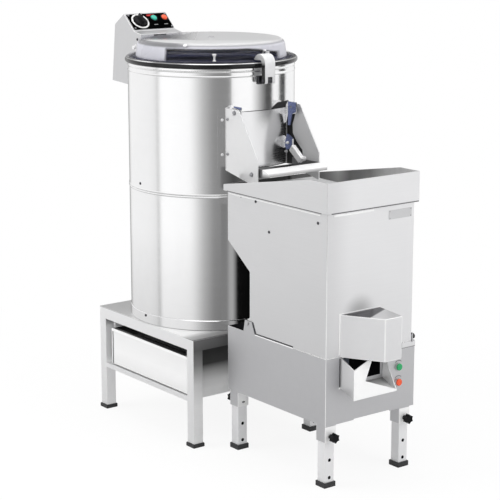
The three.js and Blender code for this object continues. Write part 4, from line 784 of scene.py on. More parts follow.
# Folded sheets and square tubes, which shade flat
FLAT = {"stand_frame", "stand_top", "filter_drawer", "filter_strainer", "drawer_bay", "console_housing",
        "outlet_tray", "cutter_base", "cutter_body", "hopper", "spout_hood", "spout_scoop", "knife_grid",
        "motor_bridge", "hook_bracket"}

# Pieces close to the polished drum and door, which these don't mirror
UNMIRRORED = {"cutter_body", "cutter_base", "hopper", "spout_hood", "outlet_tray", "stand_top",
              "stand_frame"}

# Radius in millimetres of the outer folds of these sheets, and their look; the bright looks are painted
# highlights
FOLDS = {"cutter_base": (2.2, "fold_bright"), "cutter_body": (2.2, "body_fold"),
         "hopper": (1.6, "cutter_steel"), "spout_hood": (2.6, "fold_bright"),
         "spout_scoop": (1.4, "fold_bright"), "filter_drawer": (1.8, "fold_bright"),
         "console_housing": (1.8, "fold_bright")}

# Second looks of a node's faces, each in a box of the drawing frame; a later one goes over the others. Most
# of them are painted light and shade.
SECOND_LOOKS = {
    # Painted shade and reflection inside the hopper
    "hopper": [("hopper_inside", dict(x=(286, 735), y=(-163.2, 160.2), z=(763, INF)))],
    # Painted reflection on the hood's top
    "spout_hood": [("hood_top", dict(z=(479.5, INF)))],
    # Painted highlight and shade on the tray's lip
    "outlet_tray": [("tray_lip", dict(x=(385, INF)))],
    # Painted shade on the frame's right side
    "stand_frame": [("stand_side", dict(x=(249.5, INF)))],
    "filter_drawer": [("inner_shade", dict(x=(-193.5, 193.5), y=(-238.6, INF)))],
    # Painted shade inside the bay and on its right side
    "drawer_bay": [("painted_shade_black", dict(x=(-BAY_INSIDE, BAY_INSIDE), y=(-BAY_INSIDE, BAY_INSIDE))),
                   ("bay_side", dict(x=(190, INF), facing=(1, 0, 0))),
                   ("plate_steel", dict(x=(-INF, -190), facing=(1, 0, 0))),
                   ("plate_steel", dict(x=(-INF, -190), facing=(-1, 0, 0)))],
    # Painted shade in the scoop's mouth and cheek, painted highlight on its lip
    "spout_scoop": [("scoop_floor", dict(y=(-105, 48.5))),
                    ("fold_bright", dict(x=(784.5, INF))),
                    ("scoop_cheek", dict(y=(44, 48.5), facing=(0, -1, 0)))],
    # Painted highlights on the sockets' front faces, painted shade inside the base's opening
    "cutter_base": [("fold_bright", dict(x=(728.6, 729.4), z=(-INF, 173))),
                    ("fold_bright", dict(x=(338.6, 339.4), z=(-INF, 173))),
                    ("painted_shade_black", dict(x=(292.5, 727.5), y=(-155.5, 164), z=(175, INF)))],
}


def dress_nodes():
    """Each CAD node keeps its form and gets its finish, with smooth round faces and crisp folds."""
    for node, look in NODE_LOOKS.items():
        radius, fold = FOLDS.get(node, (0.0, None))
        piece = fit(copy_of(node, radius), look, NODES[node]["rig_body"], SLOTS[node],
                    0.0 if node in FLAT else 26.0, (node,), fold)
        piece.visible_glossy = node not in UNMIRRORED
        for second, zone in SECOND_LOOKS.get(node, ()):
            paint(piece, second, **zone)
    for node, obj in NODES.items():
        obj.data.materials.clear()
        obj.data.materials.append(LOOKS[SLOTS[node]])


def add_drum():
    d = DRUM
    r, seam, roll = d["r"], d["seam"], d["rim_roll"]
    foot, ring_top = STAND["top"] + GAP, STAND["top"] + d["base_h"]
    base = lathe("drum_base_ring", [
        (r - 6, foot), (d["base_r"] - 0.8, foot), (d["base_r"], foot + 0.9),
        (d["base_r"], ring_top - 1.2), (d["base_r"] - 1.2, ring_top), (r - 6, ring_top)])
    fit(base, "drum", replaces=("base_ring",))
    lower = [(r, ring_top + GAP)] + [(r, ring_top + 60 * i) for i in range(1, 6)] + bead(seam - 3.3)
    fit(drum_sheet("drum_lower_shell", lower, d["wall"], False), "drum", replaces=("drum_lower",))
    upper = bead(seam + 3) + [(r, 770), (r, 860), (r, 1000)] + bead(d["top"] - 34) + bead(d["top"] - 20)
    upper += [(r, d["top"])]
    fit(drum_sheet("drum_upper_shell", upper, d["wall"]), "drum", replaces=("drum_upper",))

    top = d["top"] + d["rim_cap"]
    low = top - d["rim_h"]
    flank = d["rim_r"] - roll
    rim = lathe("rolled_rim", [
        (d["rim_in"], 1097.5), (r - 3.3, 1097.5), (r - 3.3, d["top"] + GAP), (r + GAP, d["top"] + GAP),
        (r + GAP, low)] + arc((flank, low + roll), roll, range(-90, 1, 15))
        + arc((flank, top - roll), roll, range(0, 91, 15))
        + [(d["rim_in"] + 1.5, top), (d["rim_in"], top - 1.5)])
    fit(rim, "polished_rim", slot="polished_rim", angle=50, replaces=("rim_ring",))
    eye, x, pivot_z = 9, -252.0, top + 9
    ear = arc((x, pivot_z), eye, range(180, -1, -20))
    ear += [(x + 13, top - 0.2), (x - 4.4, top - 0.2), (x - 4.4, low), (x - eye, low)]
    for side, inner, outer in (("left", -92, -84), ("right", 84, 92)):
        piece = prism("hinge_ear_" + side, ear, "y", inner, outer)
        fit(rounded(piece, 0.8), "cast_grey", slot="polished_rim")

    ribs = []
    for i in range(LINER["ribs"]):
        z = LINER["top"] - i * LINER["pitch"]
        ribs += [(LINER["r"] + LINER["depth"] * (0.5 + 0.5 * math.cos(2 * math.pi * t)),
                  z - LINER["pitch"] * t) for t in (0.0, 0.125, 0.25, 0.375, 0.5, 0.625, 0.75, 0.875)]
    inner = [(LINER["r"], LINER["low"]), (LINER["r"], 880), (LINER["r"], 960)] + ribs[::-1]
    liner = drum_sheet("chamber_liner", inner, LINER["wall"], outwards=True)
    fit(liner, "dark_liner", slot="dark_liner", angle=60, replaces=("abrasive_liner",))


STUD = [(0, 21), (5.4, 21), (6.2, 20), (5.8, 17.6), (3.1, 13), (2.9, 2.5), (5.2, 2.2), (5.2, 0), (0, 0)]
CLIP = [(0, 6.5), (6.0, 6.5), (6.6, 5.2), (2.6, 1.0), (2.4, -7), (0, -7)]
PLUG = [(0, -5), (4, -5), (4, 0), (9, 0), (9, 2.6), (7.6, 4), (0, 4)]


def add_lid():
    seat = DRUM["top"] + DRUM["rim_cap"] + GAP
    top = seat + LID["rise"]
    wall_r, rnd, t, edge = LID["wall_r"], LID["round"], LID["t"], LID["flange"]
    outer = [(wall_r - 1.5, seat + 12)] + arc((wall_r - 4 - rnd, top - rnd), rnd, range(10, 89, 8))
    outer += [(150, top - 0.1), (90, top), (0, top)]
    inner = [(0, top - t), (90, top - t), (150, top - t)]
    inner += arc((wall_r - 8 - rnd, top - t - rnd), rnd, range(88, 9, -8))
    inner += [(wall_r - 4.5, seat + 12), (wall_r - 4, seat), (wall_r, seat), (wall_r, seat + 4.6)]
    on_lid = dict(body="lid", slot="clear_lid")
    dome = lathe("lid_dome_clear", inner + outer)
    fit(dome, "clear_lid", angle=40, replaces=("lid_dome",), **on_lid)

    half, count = math.asin((HOOK["half"] + 7) / edge), 140
    section = [(wall_r - 0.2, seat + 0.2), (edge, seat + 0.2), (edge, seat + 3.4), (edge - 1, seat + 4),
               (wall_r - 0.2, seat + 4)]
    turns = [half + (2 * math.pi - 2 * half) * i / count for i in range(count + 1)]
    bm = bmesh.new()
    sweep(bm, [[(r * MM * math.cos(a), r * MM * math.sin(a), z * MM) for r, z in section]
               for a in turns])
    fit(from_bmesh("lid_flange", bm, at(0, 0, 0)), "clear_flange", angle=40, **on_lid)

    studs = [(at(*polar(230, a), seat + 4), (0, 0, 1)) for a in (-33.8, 8.6, 131, 205)]
    clips = [(at(*polar(r, a), seat + z), (*polar(0.5, a), 0.87))
             for a, r, z in ((-56, 213, 42), (8.3, 216, 25))]
    fit(turned("lid_studs", STUD, studs, 20), "grip_white", **on_lid)
    fit(turned("lid_clip", CLIP, clips, 20), "grip_white", **on_lid)
    fit(turned("lid_plug", PLUG, [(at(0, 0, top), (0, 0, 1))], 28), "cast_grey", **on_lid)


def add_hook():
    h = HOOK
    crown = (h["outer"] + h["tip"]) / 2
    outer_r = (h["outer"] - h["tip"]) / 2
    crown_z = h["top"] - outer_r

    def bend(radius, steps):
        """The crook from its back to its tip, in equal steps."""
        end = math.pi - math.asin((h["tip_low"] - crown_z) / radius)
        turns = [end * i / steps for i in range(steps + 1)]
        return [(crown + radius * math.cos(a), crown_z + radius * math.sin(a)) for a in turns]

    outline = [(h["outer"], h["low"] + 4)] + bend(outer_r, 22) + bend(h["inner"] - crown, 18)[::-1]
    outline += [(h["inner"], h["low"] + 4), (h["inner"] + 3, h["low"]), (h["outer"] - 3, h["low"])]
    arm = prism("hook_arm", outline, "y", -h["half"], h["half"])
    slot = rect(h["inner"] - 6, h["low"] - 6, h["outer"] + 6, h["pin_z"] + 10)
    carve(arm, prism("hook_slot", slot, "y", -h["slot_half"], h["slot_half"]))
    arm = fit(rounded(arm, 4.0, 4, 50), "hook_grey", "hook", "cast_grey", 40, ("lid_hook",))
    # Painted dark reflection on the arm's side facing -Y
    paint(arm, "hook_side", facing=(0, -1, 0))


BEZEL = [(10.6, -0.1), (13.6, -0.1), (13.6, 2.2), (12.8, 3.0), (11.2, 3.0), (10.6, 2.4)]
BUTTON = [(0, -12), (9.9, -12), (9.9, 5.6), (9.2, 7.2), (7.6, 8.4), (3.5, 8.8), (0, 8.8)]
DIAL_FACE = [(24.4, 0), (29.6, 0), (30, 0.4), (30, 0.9), (29.6, 1.2), (24.4, 1.2), (24.4, 0)]
DIAL_WELL = [(21.4, 0), (24.4, 0), (24.4, 1.1), (21.4, 1.1), (21.4, 0)]
PANEL_SCREW = [(0, 0.5), (1.2, 0.5), (1.2, 1.6), (2.6, 1.4), (3.2, 0.4), (3.2, -0.2), (0, -0.2)]


def add_console():
    up = (TILT.to_3x3() @ Vector((0, 0, 1))).normalized()
    black, white = dict(slot="black_plastic"), dict(slot="white_plastic")
    half_h, half_w = 31.7, 72.7
    plate = prism("panel_face", rect(-half_h, -half_w, half_h, half_w), "panel", GAP, PANEL_TOP)
    fit(rounded(plate, 0.6, 2), "panel_black", replaces=("control_panel",), **black)

    buttons = (("start", 18.0, "green_lit", "green_plastic"),
               ("stop", 57.0, "red_plastic", "red_plastic"))
    rings = [(on_panel(-10, y, PANEL_TOP), up) for _, y, _, _ in buttons]
    fit(turned("button_rings", BEZEL, rings, 40), "black_plastic", **black)
    for name, y, look, slot in buttons:
        cap = turned("cap_" + name, BUTTON, [(on_panel(-10, y, 0), up)], 40)
        fit(cap, look, name, slot, 40, (name + "_button",))

    dial = [(on_panel(0, DIAL_Y, 2.6), up)]
    fit(turned("dial_face", DIAL_FACE, dial, 60), "white_plastic", replaces=("dial_ring",), **white)
    fit(turned("dial_well", DIAL_WELL, dial, 60), "panel_black", **black)
    bm = bmesh.new()
    for i in range(31):
        a = math.radians(-60 + i * 10)
        r0, r1, w = (24.6, 26.6, 0.7) if i % 5 == 0 else (24.6, 25.8, 0.4)
        corners = [bm.verts.new(on_panel(r * math.cos(a) - side * math.sin(a),
                                         r * math.sin(a) + side * math.cos(a) + DIAL_Y, z))
                   for z in (3.75, 3.95) for r, side in ((r0, -w), (r1, -w), (r1, w), (r0, w))]
        for f in ((0, 1, 2, 3), (4, 5, 6, 7), (0, 1, 5, 4), (1, 2, 6, 5), (2, 3, 7, 6), (3, 0, 4, 7)):
            bm.faces.new([corners[k] for k in f])
    fit(from_bmesh("dial_marks", bm), "panel_black", **black)
    for i in range(7):
        curve = bpy.data.curves.new(f"numeral_{i}", "FONT")
        curve.body = str(i)
        curve.size = 3.0 * MM
        curve.extrude = 0.08 * MM
        curve.align_x = "CENTER"
        curve.align_y = "CENTER"
        curve.materials.append(LOOKS["panel_black"])
        obj = bpy.data.objects.new(f"numeral_{i}", curve)
        SCENE.collection.objects.link(obj)
        x, y = polar(28.0, -60 + i * 50)
        spot = Matrix.Translation(Vector((x, y + DIAL_Y, 3.85)) * MM)
        obj.matrix_world = TILT @ spot @ Matrix.Rotation(math.pi / 2, 4, "Z")
        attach(obj, "frame")

    screws = [(on_panel(s * (half_h - 5), t * (half_w - 5), PANEL_TOP), up)
              for s in (-1, 1) for t in (-1, 1)]
    fit(turned("panel_screws", PANEL_SCREW, screws, 18), "fastener")
    lamp = prism("pilot_lamp", rect(-26.0, -3.0, -19.5, 26.0), "panel", 2.2, 3.6)
    fit(rounded(lamp, 0.8, 2), "lamp_red", slot="red_plastic")
    for name, y in (("start", 14.7), ("stop", 51.4)):
        mark = prism("mark_" + name, rect(15.0, y - 7.0, 17.4, y + 7.0), "panel", 2.2, 2.7)
        fit(rounded(mark, 0.15, 2), "mark_grey", **white)
    tick = prism("knob_tick", rect(-19.0, DIAL_Y - 0.9, -9.0, DIAL_Y + 0.9), "panel", 23.0, 23.5)
    fit(tick, "white_plastic", "knob", **white)
    # The vent's dark face is painted shade in its openings
    vent = prism("console_vent", [(-30.0, 1135.5), (16.0, 1132.5), (16.0, 1151.5), (-30.0, 1151.5)], "x",
                 -259.2, -257.6)
    fit(rounded(vent, 0.4, 2), "painted_shade_black", **black)


def drum_strip(name, inner, outer, start, end, low, high):
    """A strip bent round the drum between two angles in degrees, lower at its first end."""
    sections = []
    for i in range(15):
        top = low + (high - low) * min(1.0, 0.25 + i / 6)
        a = start + (end - start) * i / 14
        sections.append([at(*polar(r, a), z) for r, z in rect(inner, low, outer, top)])
    bm = bmesh.new()
    sweep(bm, sections)
    return from_bmesh(name, bm)


LEVER_PIN = [(0, 5.0), (1.6, 4.8), (2.6, 4.0), (2.8, 0), (2.8, -1.0), (0, -1.0)]
DOOR_STUD = [(0, 8.6), (2.6, 8.0), (4.6, 5.8), (4.8, 3.4), (3.0, 1.4), (2.4, -1), (0, -1)]
GRIP = [(20, -10.5), (72, -10.5), (75, -7.0), (75, 7.0), (72, 10.5), (20, 10.5)]
# Outline of a dark strip by the right plate: painted shade in the gap beside the door
PLATE_SHADOW = [(223, 957), (266, 957), (251, 917), (253, 893), (270, 871), (297, 849), (301, 828), (298, 805),
        (223, 800)]
HINGE_WEBS = {"left": ([(246, 987), (281, 987), (281, 979), (246, 983)], -101.0),
              "right": ([(243, 986), (281, 986), (281, 958), (262, 950), (252, 916), (243, 916)], 98.0)}

# Dark strips round the drum, painted shade in the gaps about the door: name, body, inner and outer radius,
# start and end in degrees, low and high
STRIPS = (("door_seal", "frame", 249.0, 253.0, 8.0, 26.8, 968.0, 986.0),
          ("door_gap_top", "door", 251.3, 252.1, -20.0, 8.5, 967.6, 969.6),
          ("door_gap_foot", "door", 251.3, 252.1, -6.0, 22.0, 803.0, 805.0))


def add_outlet():
    for side, flange in (("left", (-INF, -114.5)), ("right", (114.5, INF))):
        node = "outlet_plate_" + side
        plate = fit(copy_of(node), "plate_steel", slot="satin_steel", angle=0.0, replaces=(node,))
        paint(plate, "drum", x=(-INF, 240), y=flange)
    lever = fit(copy_of("door_lever"), "blue_steel", "lever", angle=0.0, replaces=("door_lever",))
    paint(lever, "grip_white", x=(282, INF))
    pivot_x, pivot_z, slope = 262, 868, 37
    grip = prism("lever_grip_cap", GRIP, "free", -7.3, 7.3)
    lay = Matrix.Rotation(math.radians(slope), 4, "Y") @ Matrix.Rotation(math.radians(90), 4, "X")
    grip.data.transform(Matrix.Translation(at(pivot_x, 86.5, pivot_z)) @ lay)
    grip = fit(rounded(grip, 2.0, 3), "fold_bright", "lever")
    pin = turned("lever_pin", LEVER_PIN, [(at(pivot_x, 80.2, pivot_z), (0, -1, 0))], 20)
    stud = turned("door_stud", DOOR_STUD, [(at(238.5, 92.0, 839.4), (0.93, 0.37, 0))], 20)
    unmirrored = [lever, grip, fit(pin, "grip_white", "door"), fit(stud, "grip_white", "door")]
    for side, (outline, y) in HINGE_WEBS.items():
        web = prism("hinge_web_" + side, outline, "y", y - 0.3, y + 3.3)
        unmirrored.append(fit(rounded(web, 0.8, 2), "blue_steel", "door"))
    # Painted shade in the gap between the door and the right plate, as a dark strip
    fit(rounded(prism("plate_shadow_strip", PLATE_SHADOW, "y", 109.4, 110.9), 0.5, 2), "belt_rubber")
    for name, body, *sizes in STRIPS:
        unmirrored.append(fit(drum_strip(name, *sizes), "belt_rubber", body))
    for piece in unmirrored:
        piece.visible_glossy = False


PAN_HEAD = [(0, 1.0), (1.3, 1.0), (1.3, 2.4), (2.4, 2.3), (3.6, 1.6), (4.2, 0.5), (4.2, -0.4), (0, -0.4)]
DOME_HEAD = [(0, 2.6), (1.6, 2.4), (3.2, 1.7), (4.2, 0.6), (4.4, -0.6), (0, -0.6)]
WASHER = [(0, 0.9), (6.6, 0.9), (7.0, 0.5), (7.0, -0.3), (0, -0.3)]
HEX_HEAD = [(0, 3.6), (4.4, 3.6), (5.6, 3.0), (5.6, 0.0), (0, 0.0)]
EAR_BOLT = [(0, 3.4), (4.6, 3.4), (5.6, 2.8), (5.6, 0.0), (0, 0.0)]
VENT_PIN = [(0, 0.3), (1.6, 0.3), (1.8, 0.0), (1.8, -0.2), (0, -0.2)]
RIVET = [(0, 0.9), (1.1, 0.7), (1.7, 0.1), (1.7, -0.4), (0, -0.4)]
BODY_SCREWS = ((422, 746), (691, 729), (482, 670))
PLATE_BOLTS = ((265, 971), (345, 806))


def on_drum(y, z, r=DRUM["r"]):
    x = math.sqrt(r * r - y * y)
    return at(x, y, z), (x / r, y / r, 0)


def add_fasteners():
    left, right, radius = CUTTER["left"], CUTTER["right"], DRUM["r"]
    sides = (-1, 1)
    body = [(at(x, y, z), (0, s, 0)) for y, s in ((left, -1), (right, 1)) for x, z in BODY_SCREWS]
    bolts = [(at(x, s * 112.5, z), (0, s, 0)) for x, z in PLATE_BOLTS for s in sides]
    on_washers = [(point + Vector(out) * 0.9 * MM, out) for point, out in bolts]
    flange = [on_drum(s * 121.8, z, radius + 3) for s in sides for z in (947, 847)]
    plate = [(at(233.6, s * 114.2, z), (0, s, 0)) for s in sides for z in (950, 850)]
    drum = [(at(-17, -247.4, 744), (-17 / radius, -247.4 / radius, 0)), on_drum(91, 1038)]
    ring = [(at(*polar(DRUM["base_r"], a), 349), (*polar(1.0, a), 0))
            for a in (-88.6, 1.4, 91.4, 181.4)]
    console = [(at(-278, s * 78, 1137), (0, s, 0)) for s in sides]
    for name, profile, places, look, segs in (
            ("body_screws", PAN_HEAD, body, "dark_fastener", 24),
            ("body_vents", VENT_PIN, [(at(354, left, 748), (0, -1, 0))], "dark_fastener", 14),
            ("plate_washers", WASHER, bolts, "fastener", 24),
            ("plate_bolts", HEX_HEAD, on_washers, "fastener", 6),
            ("flange_screws", DOME_HEAD, flange, "grip_white", 24),
            ("plate_screws", PAN_HEAD, plate, "fastener", 24),
            ("drum_screws", DOME_HEAD, drum, "dark_fastener", 24),
            ("ring_screws", PAN_HEAD, ring, "dark_fastener", 24),
            ("console_screws", PAN_HEAD, console, "dark_fastener", 24),
            ("ear_bolt", EAR_BOLT, [(at(384, left - 0.1, 391), (0, -1, 0))], "fastener", 6)):
        fit(turned(name, profile, places, segs), look)


def add_cutter_trim():
    """Painted highlights on folded edges, hems and flanges, and painted shade in hems, slits and seams of
    the chip cutter, each a thin flat strip.
    """
    front, left = CUTTER["front"], CUTTER["left"]
    side = left - 8.3
    on_front, on_left = (front, front + 1.2), (left - 0.9, left - 0.1)
    seam = [(404.5, 398), (411, 398), (424.5, 368.8), (589, 368.8), (589, 365.6), (421, 365.6),
            (417, 368)]
    slot = [(-137.5 + polar(5.5, a)[0], 142.6 + polar(3.0, a)[1]) for a in range(0, 360, 30)]
    rim = [(421, 365.4), (589, 365.4), (589, 362.4), (419, 362.4)]
    for name, axis, outline, (low, high), look in (
            # The hopper's hems are a painted shadow under its overhang; the body's hems a painted highlight
            # on its top fold
            ("hopper_hem_front", "z", rect(front + 8.2, -150, front + 9.0, 160), (757.6, 760.4),
             "painted_shade_steel"),
            ("hopper_hem_side", "z", rect(300, side - 0.4, 714, side + 0.4), (757.6, 759.8),
             "painted_shade_steel"),
            ("body_hem_front", "z", rect(front - 0.2, -134, front + 0.8, 4), (748.2, 753.8),
             "fold_bright"),
            ("body_hem_side", "z", rect(300, left - 0.6, 700, left + 0.2), (749.6, 752.6),
             "fold_bright"),
            # Dark slits, seams and the socket's slot are painted shade; the slit end, hood flanges and base
            # rim are painted highlights
            ("scoop_slit", "x", rect(-109.2, 279, -107.0, 358), on_front, "dark_fastener"),
            ("scoop_slit_end", "x", rect(-111.5, 273, -106.5, 278), on_front, "fold_bright"),
            ("hood_flange_side", "x", rect(-112.8, 370, -108.6, 483), on_front, "fold_bright"),
            ("hood_flange_top", "x", rect(-108.6, 480.4, 33, 483), on_front, "fold_bright"),
            ("latch_plate", "x", rect(116, 349, 165.3, 363.8), on_front, "cutter_steel"),
            ("latch_seam", "x", rect(116, 347.6, 165.3, 348.8), on_front, "painted_shade_steel"),
            ("base_seam", "y", seam, on_left, "dark_fastener"),
            ("socket_slot", "x", slot, (339.1, 339.7), "painted_shade_steel"),
            ("base_rim", "y", rim, on_left, "fold_bright")):
        fit(prism(name, outline, axis, low, high), look, angle=0.0)


def add_plate():
    x = CUTTER["front"]
    plate = prism("bare_plate", rect(59, 718, 142, 743), "x", x - 0.2, x + 1.0)
    fit(rounded(plate, 0.5, 2), "name_plate")
    rivets = [(at(x + 1.0, y, z), (1, 0, 0)) for y in (62.5, 138.5) for z in (721, 740)]
    fit(turned("plate_rivets", RIVET, rivets, 14), "fastener")


def add_drawer_front():
    """The drawer's front sheet with a painted highlight on its lip, and the dark join beside its left end.
    """
    y = -242.0
    front = prism("drawer_front", rect(-196, 153.2, 214, 264.8), "y", y - 1.2, y - 0.2)
    fit(front, "drawer_steel", "drawer", angle=0.0)
    join = prism("drawer_join", rect(-190, 154, -186.4, 256), "y", y - 1.9, y - 1.1)
    fit(join, "dark_fastener", "drawer", angle=0.0)


CUTTER_CAP = [(0, -9), (6.2, -9), (6.2, 3.4), (9.8, 3.4), (9.8, 6.2), (9.0, 7.4), (6.0, 8.0), (0, 8.0)]


def add_cutter_buttons():
    """Two caps on the cutter's base and the printed arc above each."""
    x, y = CUTTER["front"], 104.5
    arcs = bmesh.new()
    section = ((x - 0.1, 17.2), (x + 0.5, 17.2), (x + 0.5, 18.6), (x - 0.1, 18.6))
    for name, z, look in (("start", 297.5, "green_plastic"), ("stop", 253.5, "red_plastic")):
        cap = turned("cutter_cap_" + name, CUTTER_CAP, [(at(x, y, z), (1, 0, 0))], 40)
        fit(cap, look, "cutter_" + name, look, 40, ("cutter_" + name + "_button",))
        turns = [polar(1.0, 50 + 10 * i) for i in range(9)]
        sweep(arcs, [[at(depth, y + r * c, z + r * s) for depth, r in section] for c, s in turns])
    fit(from_bmesh("button_arcs", arcs), "dark_fastener")


LEG_HOLE = [(0, 0.25), (4.7, 0.25), (5.0, 0.1), (5.0, -0.3), (0, -0.3)]


def add_legs():
    """The cutter's four legs with painted shade in the holes of their tubes, and the caps under the stand's
    legs.
    """
    half = LEG["half"]
    front_x, rear_x = CUTTER["front"] - half, CUTTER["base_rear"] + LEG["rear_inset"] + half
    left_y, right_y = CUTTER["left"] + half, CUTTER["base_right"] - LEG["right_inset"] - half
    for name, x, y in (("front_left", front_x, left_y), ("front_right", front_x, right_y),
                       ("rear_right", rear_x, right_y), ("rear_left", rear_x, left_y)):
        node, body = "cutter_leg_" + name, "leg_" + name
        leg = fit(copy_of(node), "leg_steel", body, angle=0.0, replaces=(node,))
        paint(leg, "foot_rubber", z=(-INF, LEG["foot_top"]))
        # Black discs on the tubes: painted shade in their holes
        holes = [(at(x + LEG["tube_half"], y, z), (1, 0, 0)) for z in (27, 77)]
        fit(turned("leg_holes_" + name, LEG_HOLE, holes, 20), "painted_shade_black", body, angle=0.0)
    far, cap = STAND["half"] - STAND["tube"] / 2, STAND["cap"]
    for name, x, y in (("front_left", -far, -far), ("front_right", far, -far), ("rear_right", far, far),
                       ("rear_left", -far, far)):
        plan = rect(x - cap, y - cap, x + cap, y + cap)
        foot = rounded(prism("stand_cap_" + name, plan, "z", 0.0, STAND["cap_top"]), 2.0, 3)
        fit(foot, "foot_rubber", slot="black_plastic", replaces=("stand_foot_" + name,))


# Floor, lights and surroundings
def stage_face(name, corners, mat, only_mirrored):
    """One face of the stage. What is only mirrored shows in metal and nowhere else."""
    bm = bmesh.new()
    bm.faces.new([bm.verts.new(corner) for corner in corners])
    obj = from_bmesh(name, bm)
    obj.data.materials.append(mat)
    SCENE.collection.objects.link(obj)
    if only_mirrored:
        obj.visible_camera = False
        obj.visible_diffuse = False
        obj.visible_shadow = False
        obj.visible_transmission = False
    else:
        obj.visible_glossy = False


def mixed(g, share, first, second):
    mix = g.node("MixShader")
    for socket, source in zip(mix.inputs, (share, first.outputs[0], second.outputs[0])):
        g.link(source, socket)
    return mix


def add_floor():
    """A floor that keeps the object's shadow and is white elsewhere."""
    size = 9.0
    mat, g, surface = new_material("floor_white")
    place = g.place()
    far = g.rising(g.vector("LENGTH", place), 0.75, 1.7)
    cloth = g.node("BsdfDiffuse")
    g.fill(cloth, Color=g.colour_mix(g.noise(place, 3.0, 2.0), grey(0.88), grey(0.9)))
    glow = g.fill(g.node("Emission"), Color=grey(1.0), Strength=1.0)
    path = g.node("LightPath").outputs
    seen = g.math("MAXIMUM", path["Is Camera Ray"], path["Is Transmission Ray"])
    seen = g.math("MAXIMUM", seen, path["Is Glossy Ray"])
    share = g.product(seen, g.math("ADD", g.product(far, 0.1), 0.90))
    g.link(mixed(g, share, cloth, glow).outputs[0], surface)
    stage_face("floor", [(x, y, 0) for x, y in rect(-size, -size, size, size)], mat, False)


def add_floor_glow():
    """What metal sees of the floor: the studio above it, dimmed where the machine's shade lies."""
    size, height = 6.0, 0.0004
    mat, g, surface = new_material("floor_shade")
    place = g.place()
    grain = g.ranged(g.noise(place, 2.0, 2.0), 0.3, 0.7, 0.97, 1.0)
    dim = g.product(g.ranged(g.vector("LENGTH", place), 0.5, 3.2, 0.66, 1.0), grain)
    veil = g.fill(g.node("BsdfTransparent"), Color=g.tinted(dim))
    g.link(veil.outputs[0], surface)
    corners = [(x, y, height) for x, y in rect(-size, -size, size, size)]
    stage_face("floor_reflected", corners, mat, True)


# Cards of the studio: name, ends in the drawing frame, low, high, and tones along the card
CARDS = (
    ("card_near", ((712.0, 128.0), (526.0, 447.0)), 870, 1060,
     ((0.0, 1.0), (0.45, 0.35), (0.70, 0.07), (1.0, 0.05))),
    ("card_far", ((404.0, 537.0), (250.0, 594.0)), 870, 1060,
     ((0.0, 0.30), (0.25, 0.07), (0.75, 0.06), (1.0, 0.35))),
    ("card_gap", ((289.0, -157.0), (289.0, 80.0)), 326, 690,
     ((0.0, 0.20), (0.12, 0.20), (0.18, 0.36), (0.24, 0.36), (0.32, 0.003), (1.0, 0.002))),
    ("card_neck", ((289.0, -157.0), (289.0, 80.0)), 735, 800, ((0.0, 0.16), (0.25, 0.06), (1.0, 0.20))),
)


def add_cards():
    """Cards that only metal sees: two dark bands on the drum's right, and the gap by the cutter."""
    for name, ((x0, y0), (x1, y1)), low, high, stops in CARDS:
        mat, g, surface = new_material(name + "_cloth")
        span = Vector((x1 - x0, y1 - y0, 0)) * MM
        along = g.vector("DOT_PRODUCT", g.place(), span / span.length_squared)
        start = at(x0, y0, 0).dot(span) / span.length_squared
        glow = g.fill(g.node("Emission"), Color=g.ramp(g.math("SUBTRACT", along, start), stops))
        g.link(glow.outputs[0], surface)
        corners = [at(x0, y0, low), at(x1, y1, low), at(x1, y1, high), at(x0, y0, high)]
        stage_face(name, corners, mat, True)


# Brightness of the studio that metal reflects, by angle round the object from the camera, in degrees
STUDIO = [
    (-180, 0.22), (-166, 0.32), (-152, 0.86), (-146, 0.92), (-95, 0.90), (-82, 0.84), (-78, 0.5),
    (-73, 1.05), (-30, 1.0), (-25, 0.92), (-10, 0.5), (4, 0.27), (26, 0.22), (31, 0.98), (60, 1.0),
    (66, 0.92), (110, 0.95), (160, 0.92), (170, 0.45), (180, 0.22),
]


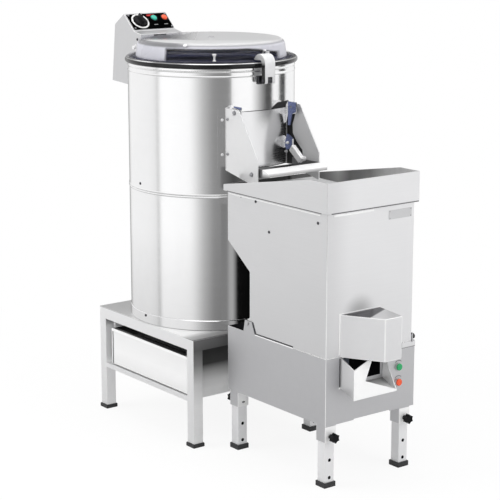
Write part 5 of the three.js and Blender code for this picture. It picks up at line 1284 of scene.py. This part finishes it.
def add_world():
    """White to the camera, the studio's bands to metal, and a plain grey light for the rest."""
    world = bpy.data.worlds.new("studio")
    SCENE.world = world
    world.use_nodes = True
    g = Graph(world.node_tree)
    x, y, z = g.split(g.place("Generated"))
    angle = g.math("ARCTAN2", x, g.math("MULTIPLY", y, -1.0))
    turned_by = g.math("SUBTRACT", angle, math.radians(CAMERA_TURN + 180))
    share = g.math("FRACT", g.math("DIVIDE", turned_by, 2 * math.pi))
    bands = g.ramp(share, [((degrees + 180) / 360, tone) for degrees, tone in STUDIO])
    bands = g.colour_mix(g.rising(z, 0.35, 0.75), bands, grey(0.95))
    bands = g.colour_mix(g.rising(z, 0.88, 0.94), bands, grey(1.8))
    bands = g.colour_mix(g.falling(z, -0.75, -0.3), bands, grey(0.72))
    plain, studio, white = (g.fill(g.node("Background"), Color=colour, Strength=strength)
                            for colour, strength in ((grey(1.0), 0.55), (bands, 1.0), (grey(1.0), 1.0)))
    path = g.node("LightPath").outputs
    seen = g.math("MAXIMUM", path["Is Camera Ray"], path["Is Transmission Ray"])
    light = mixed(g, seen, mixed(g, path["Is Glossy Ray"], plain, studio), white)
    g.link(light.outputs[0], g.node("OutputWorld").inputs["Surface"])


# Lamps: name, place, target, width, power
LAMPS = (("key_left", (-1.6, -3.2, 2.6), (0, 0, 0.6), 2.2, 75.0),
         ("fill_right", (3.6, 1.2, 2.2), (0.2, 0, 0.6), 2.2, 55.0),
         ("top_soft", (0.0, 0.0, 3.6), (0, 0, 0), 2.6, 55.0))


def add_lights():
    for name, position, target, size, power in LAMPS:
        data = bpy.data.lights.new(name, "AREA")
        data.shape = "SQUARE"
        data.size = size
        data.energy = power
        obj = bpy.data.objects.new(name, data)
        obj.location = position
        aim = Vector(target) - Vector(position)
        obj.rotation_euler = aim.to_track_quat("-Z", "Y").to_euler()
        obj.visible_glossy = False
        obj.visible_camera = False
        SCENE.collection.objects.link(obj)


def main():
    add_camera()
    dress_nodes()
    add_drum()
    add_lid()
    add_hook()
    add_console()
    add_outlet()
    add_fasteners()
    add_cutter_trim()
    add_plate()
    add_drawer_front()
    add_cutter_buttons()
    add_legs()
    add_floor()
    add_floor_glow()
    add_cards()
    add_world()
    add_lights()
    SCENE.view_settings.view_transform = "Standard"


main()
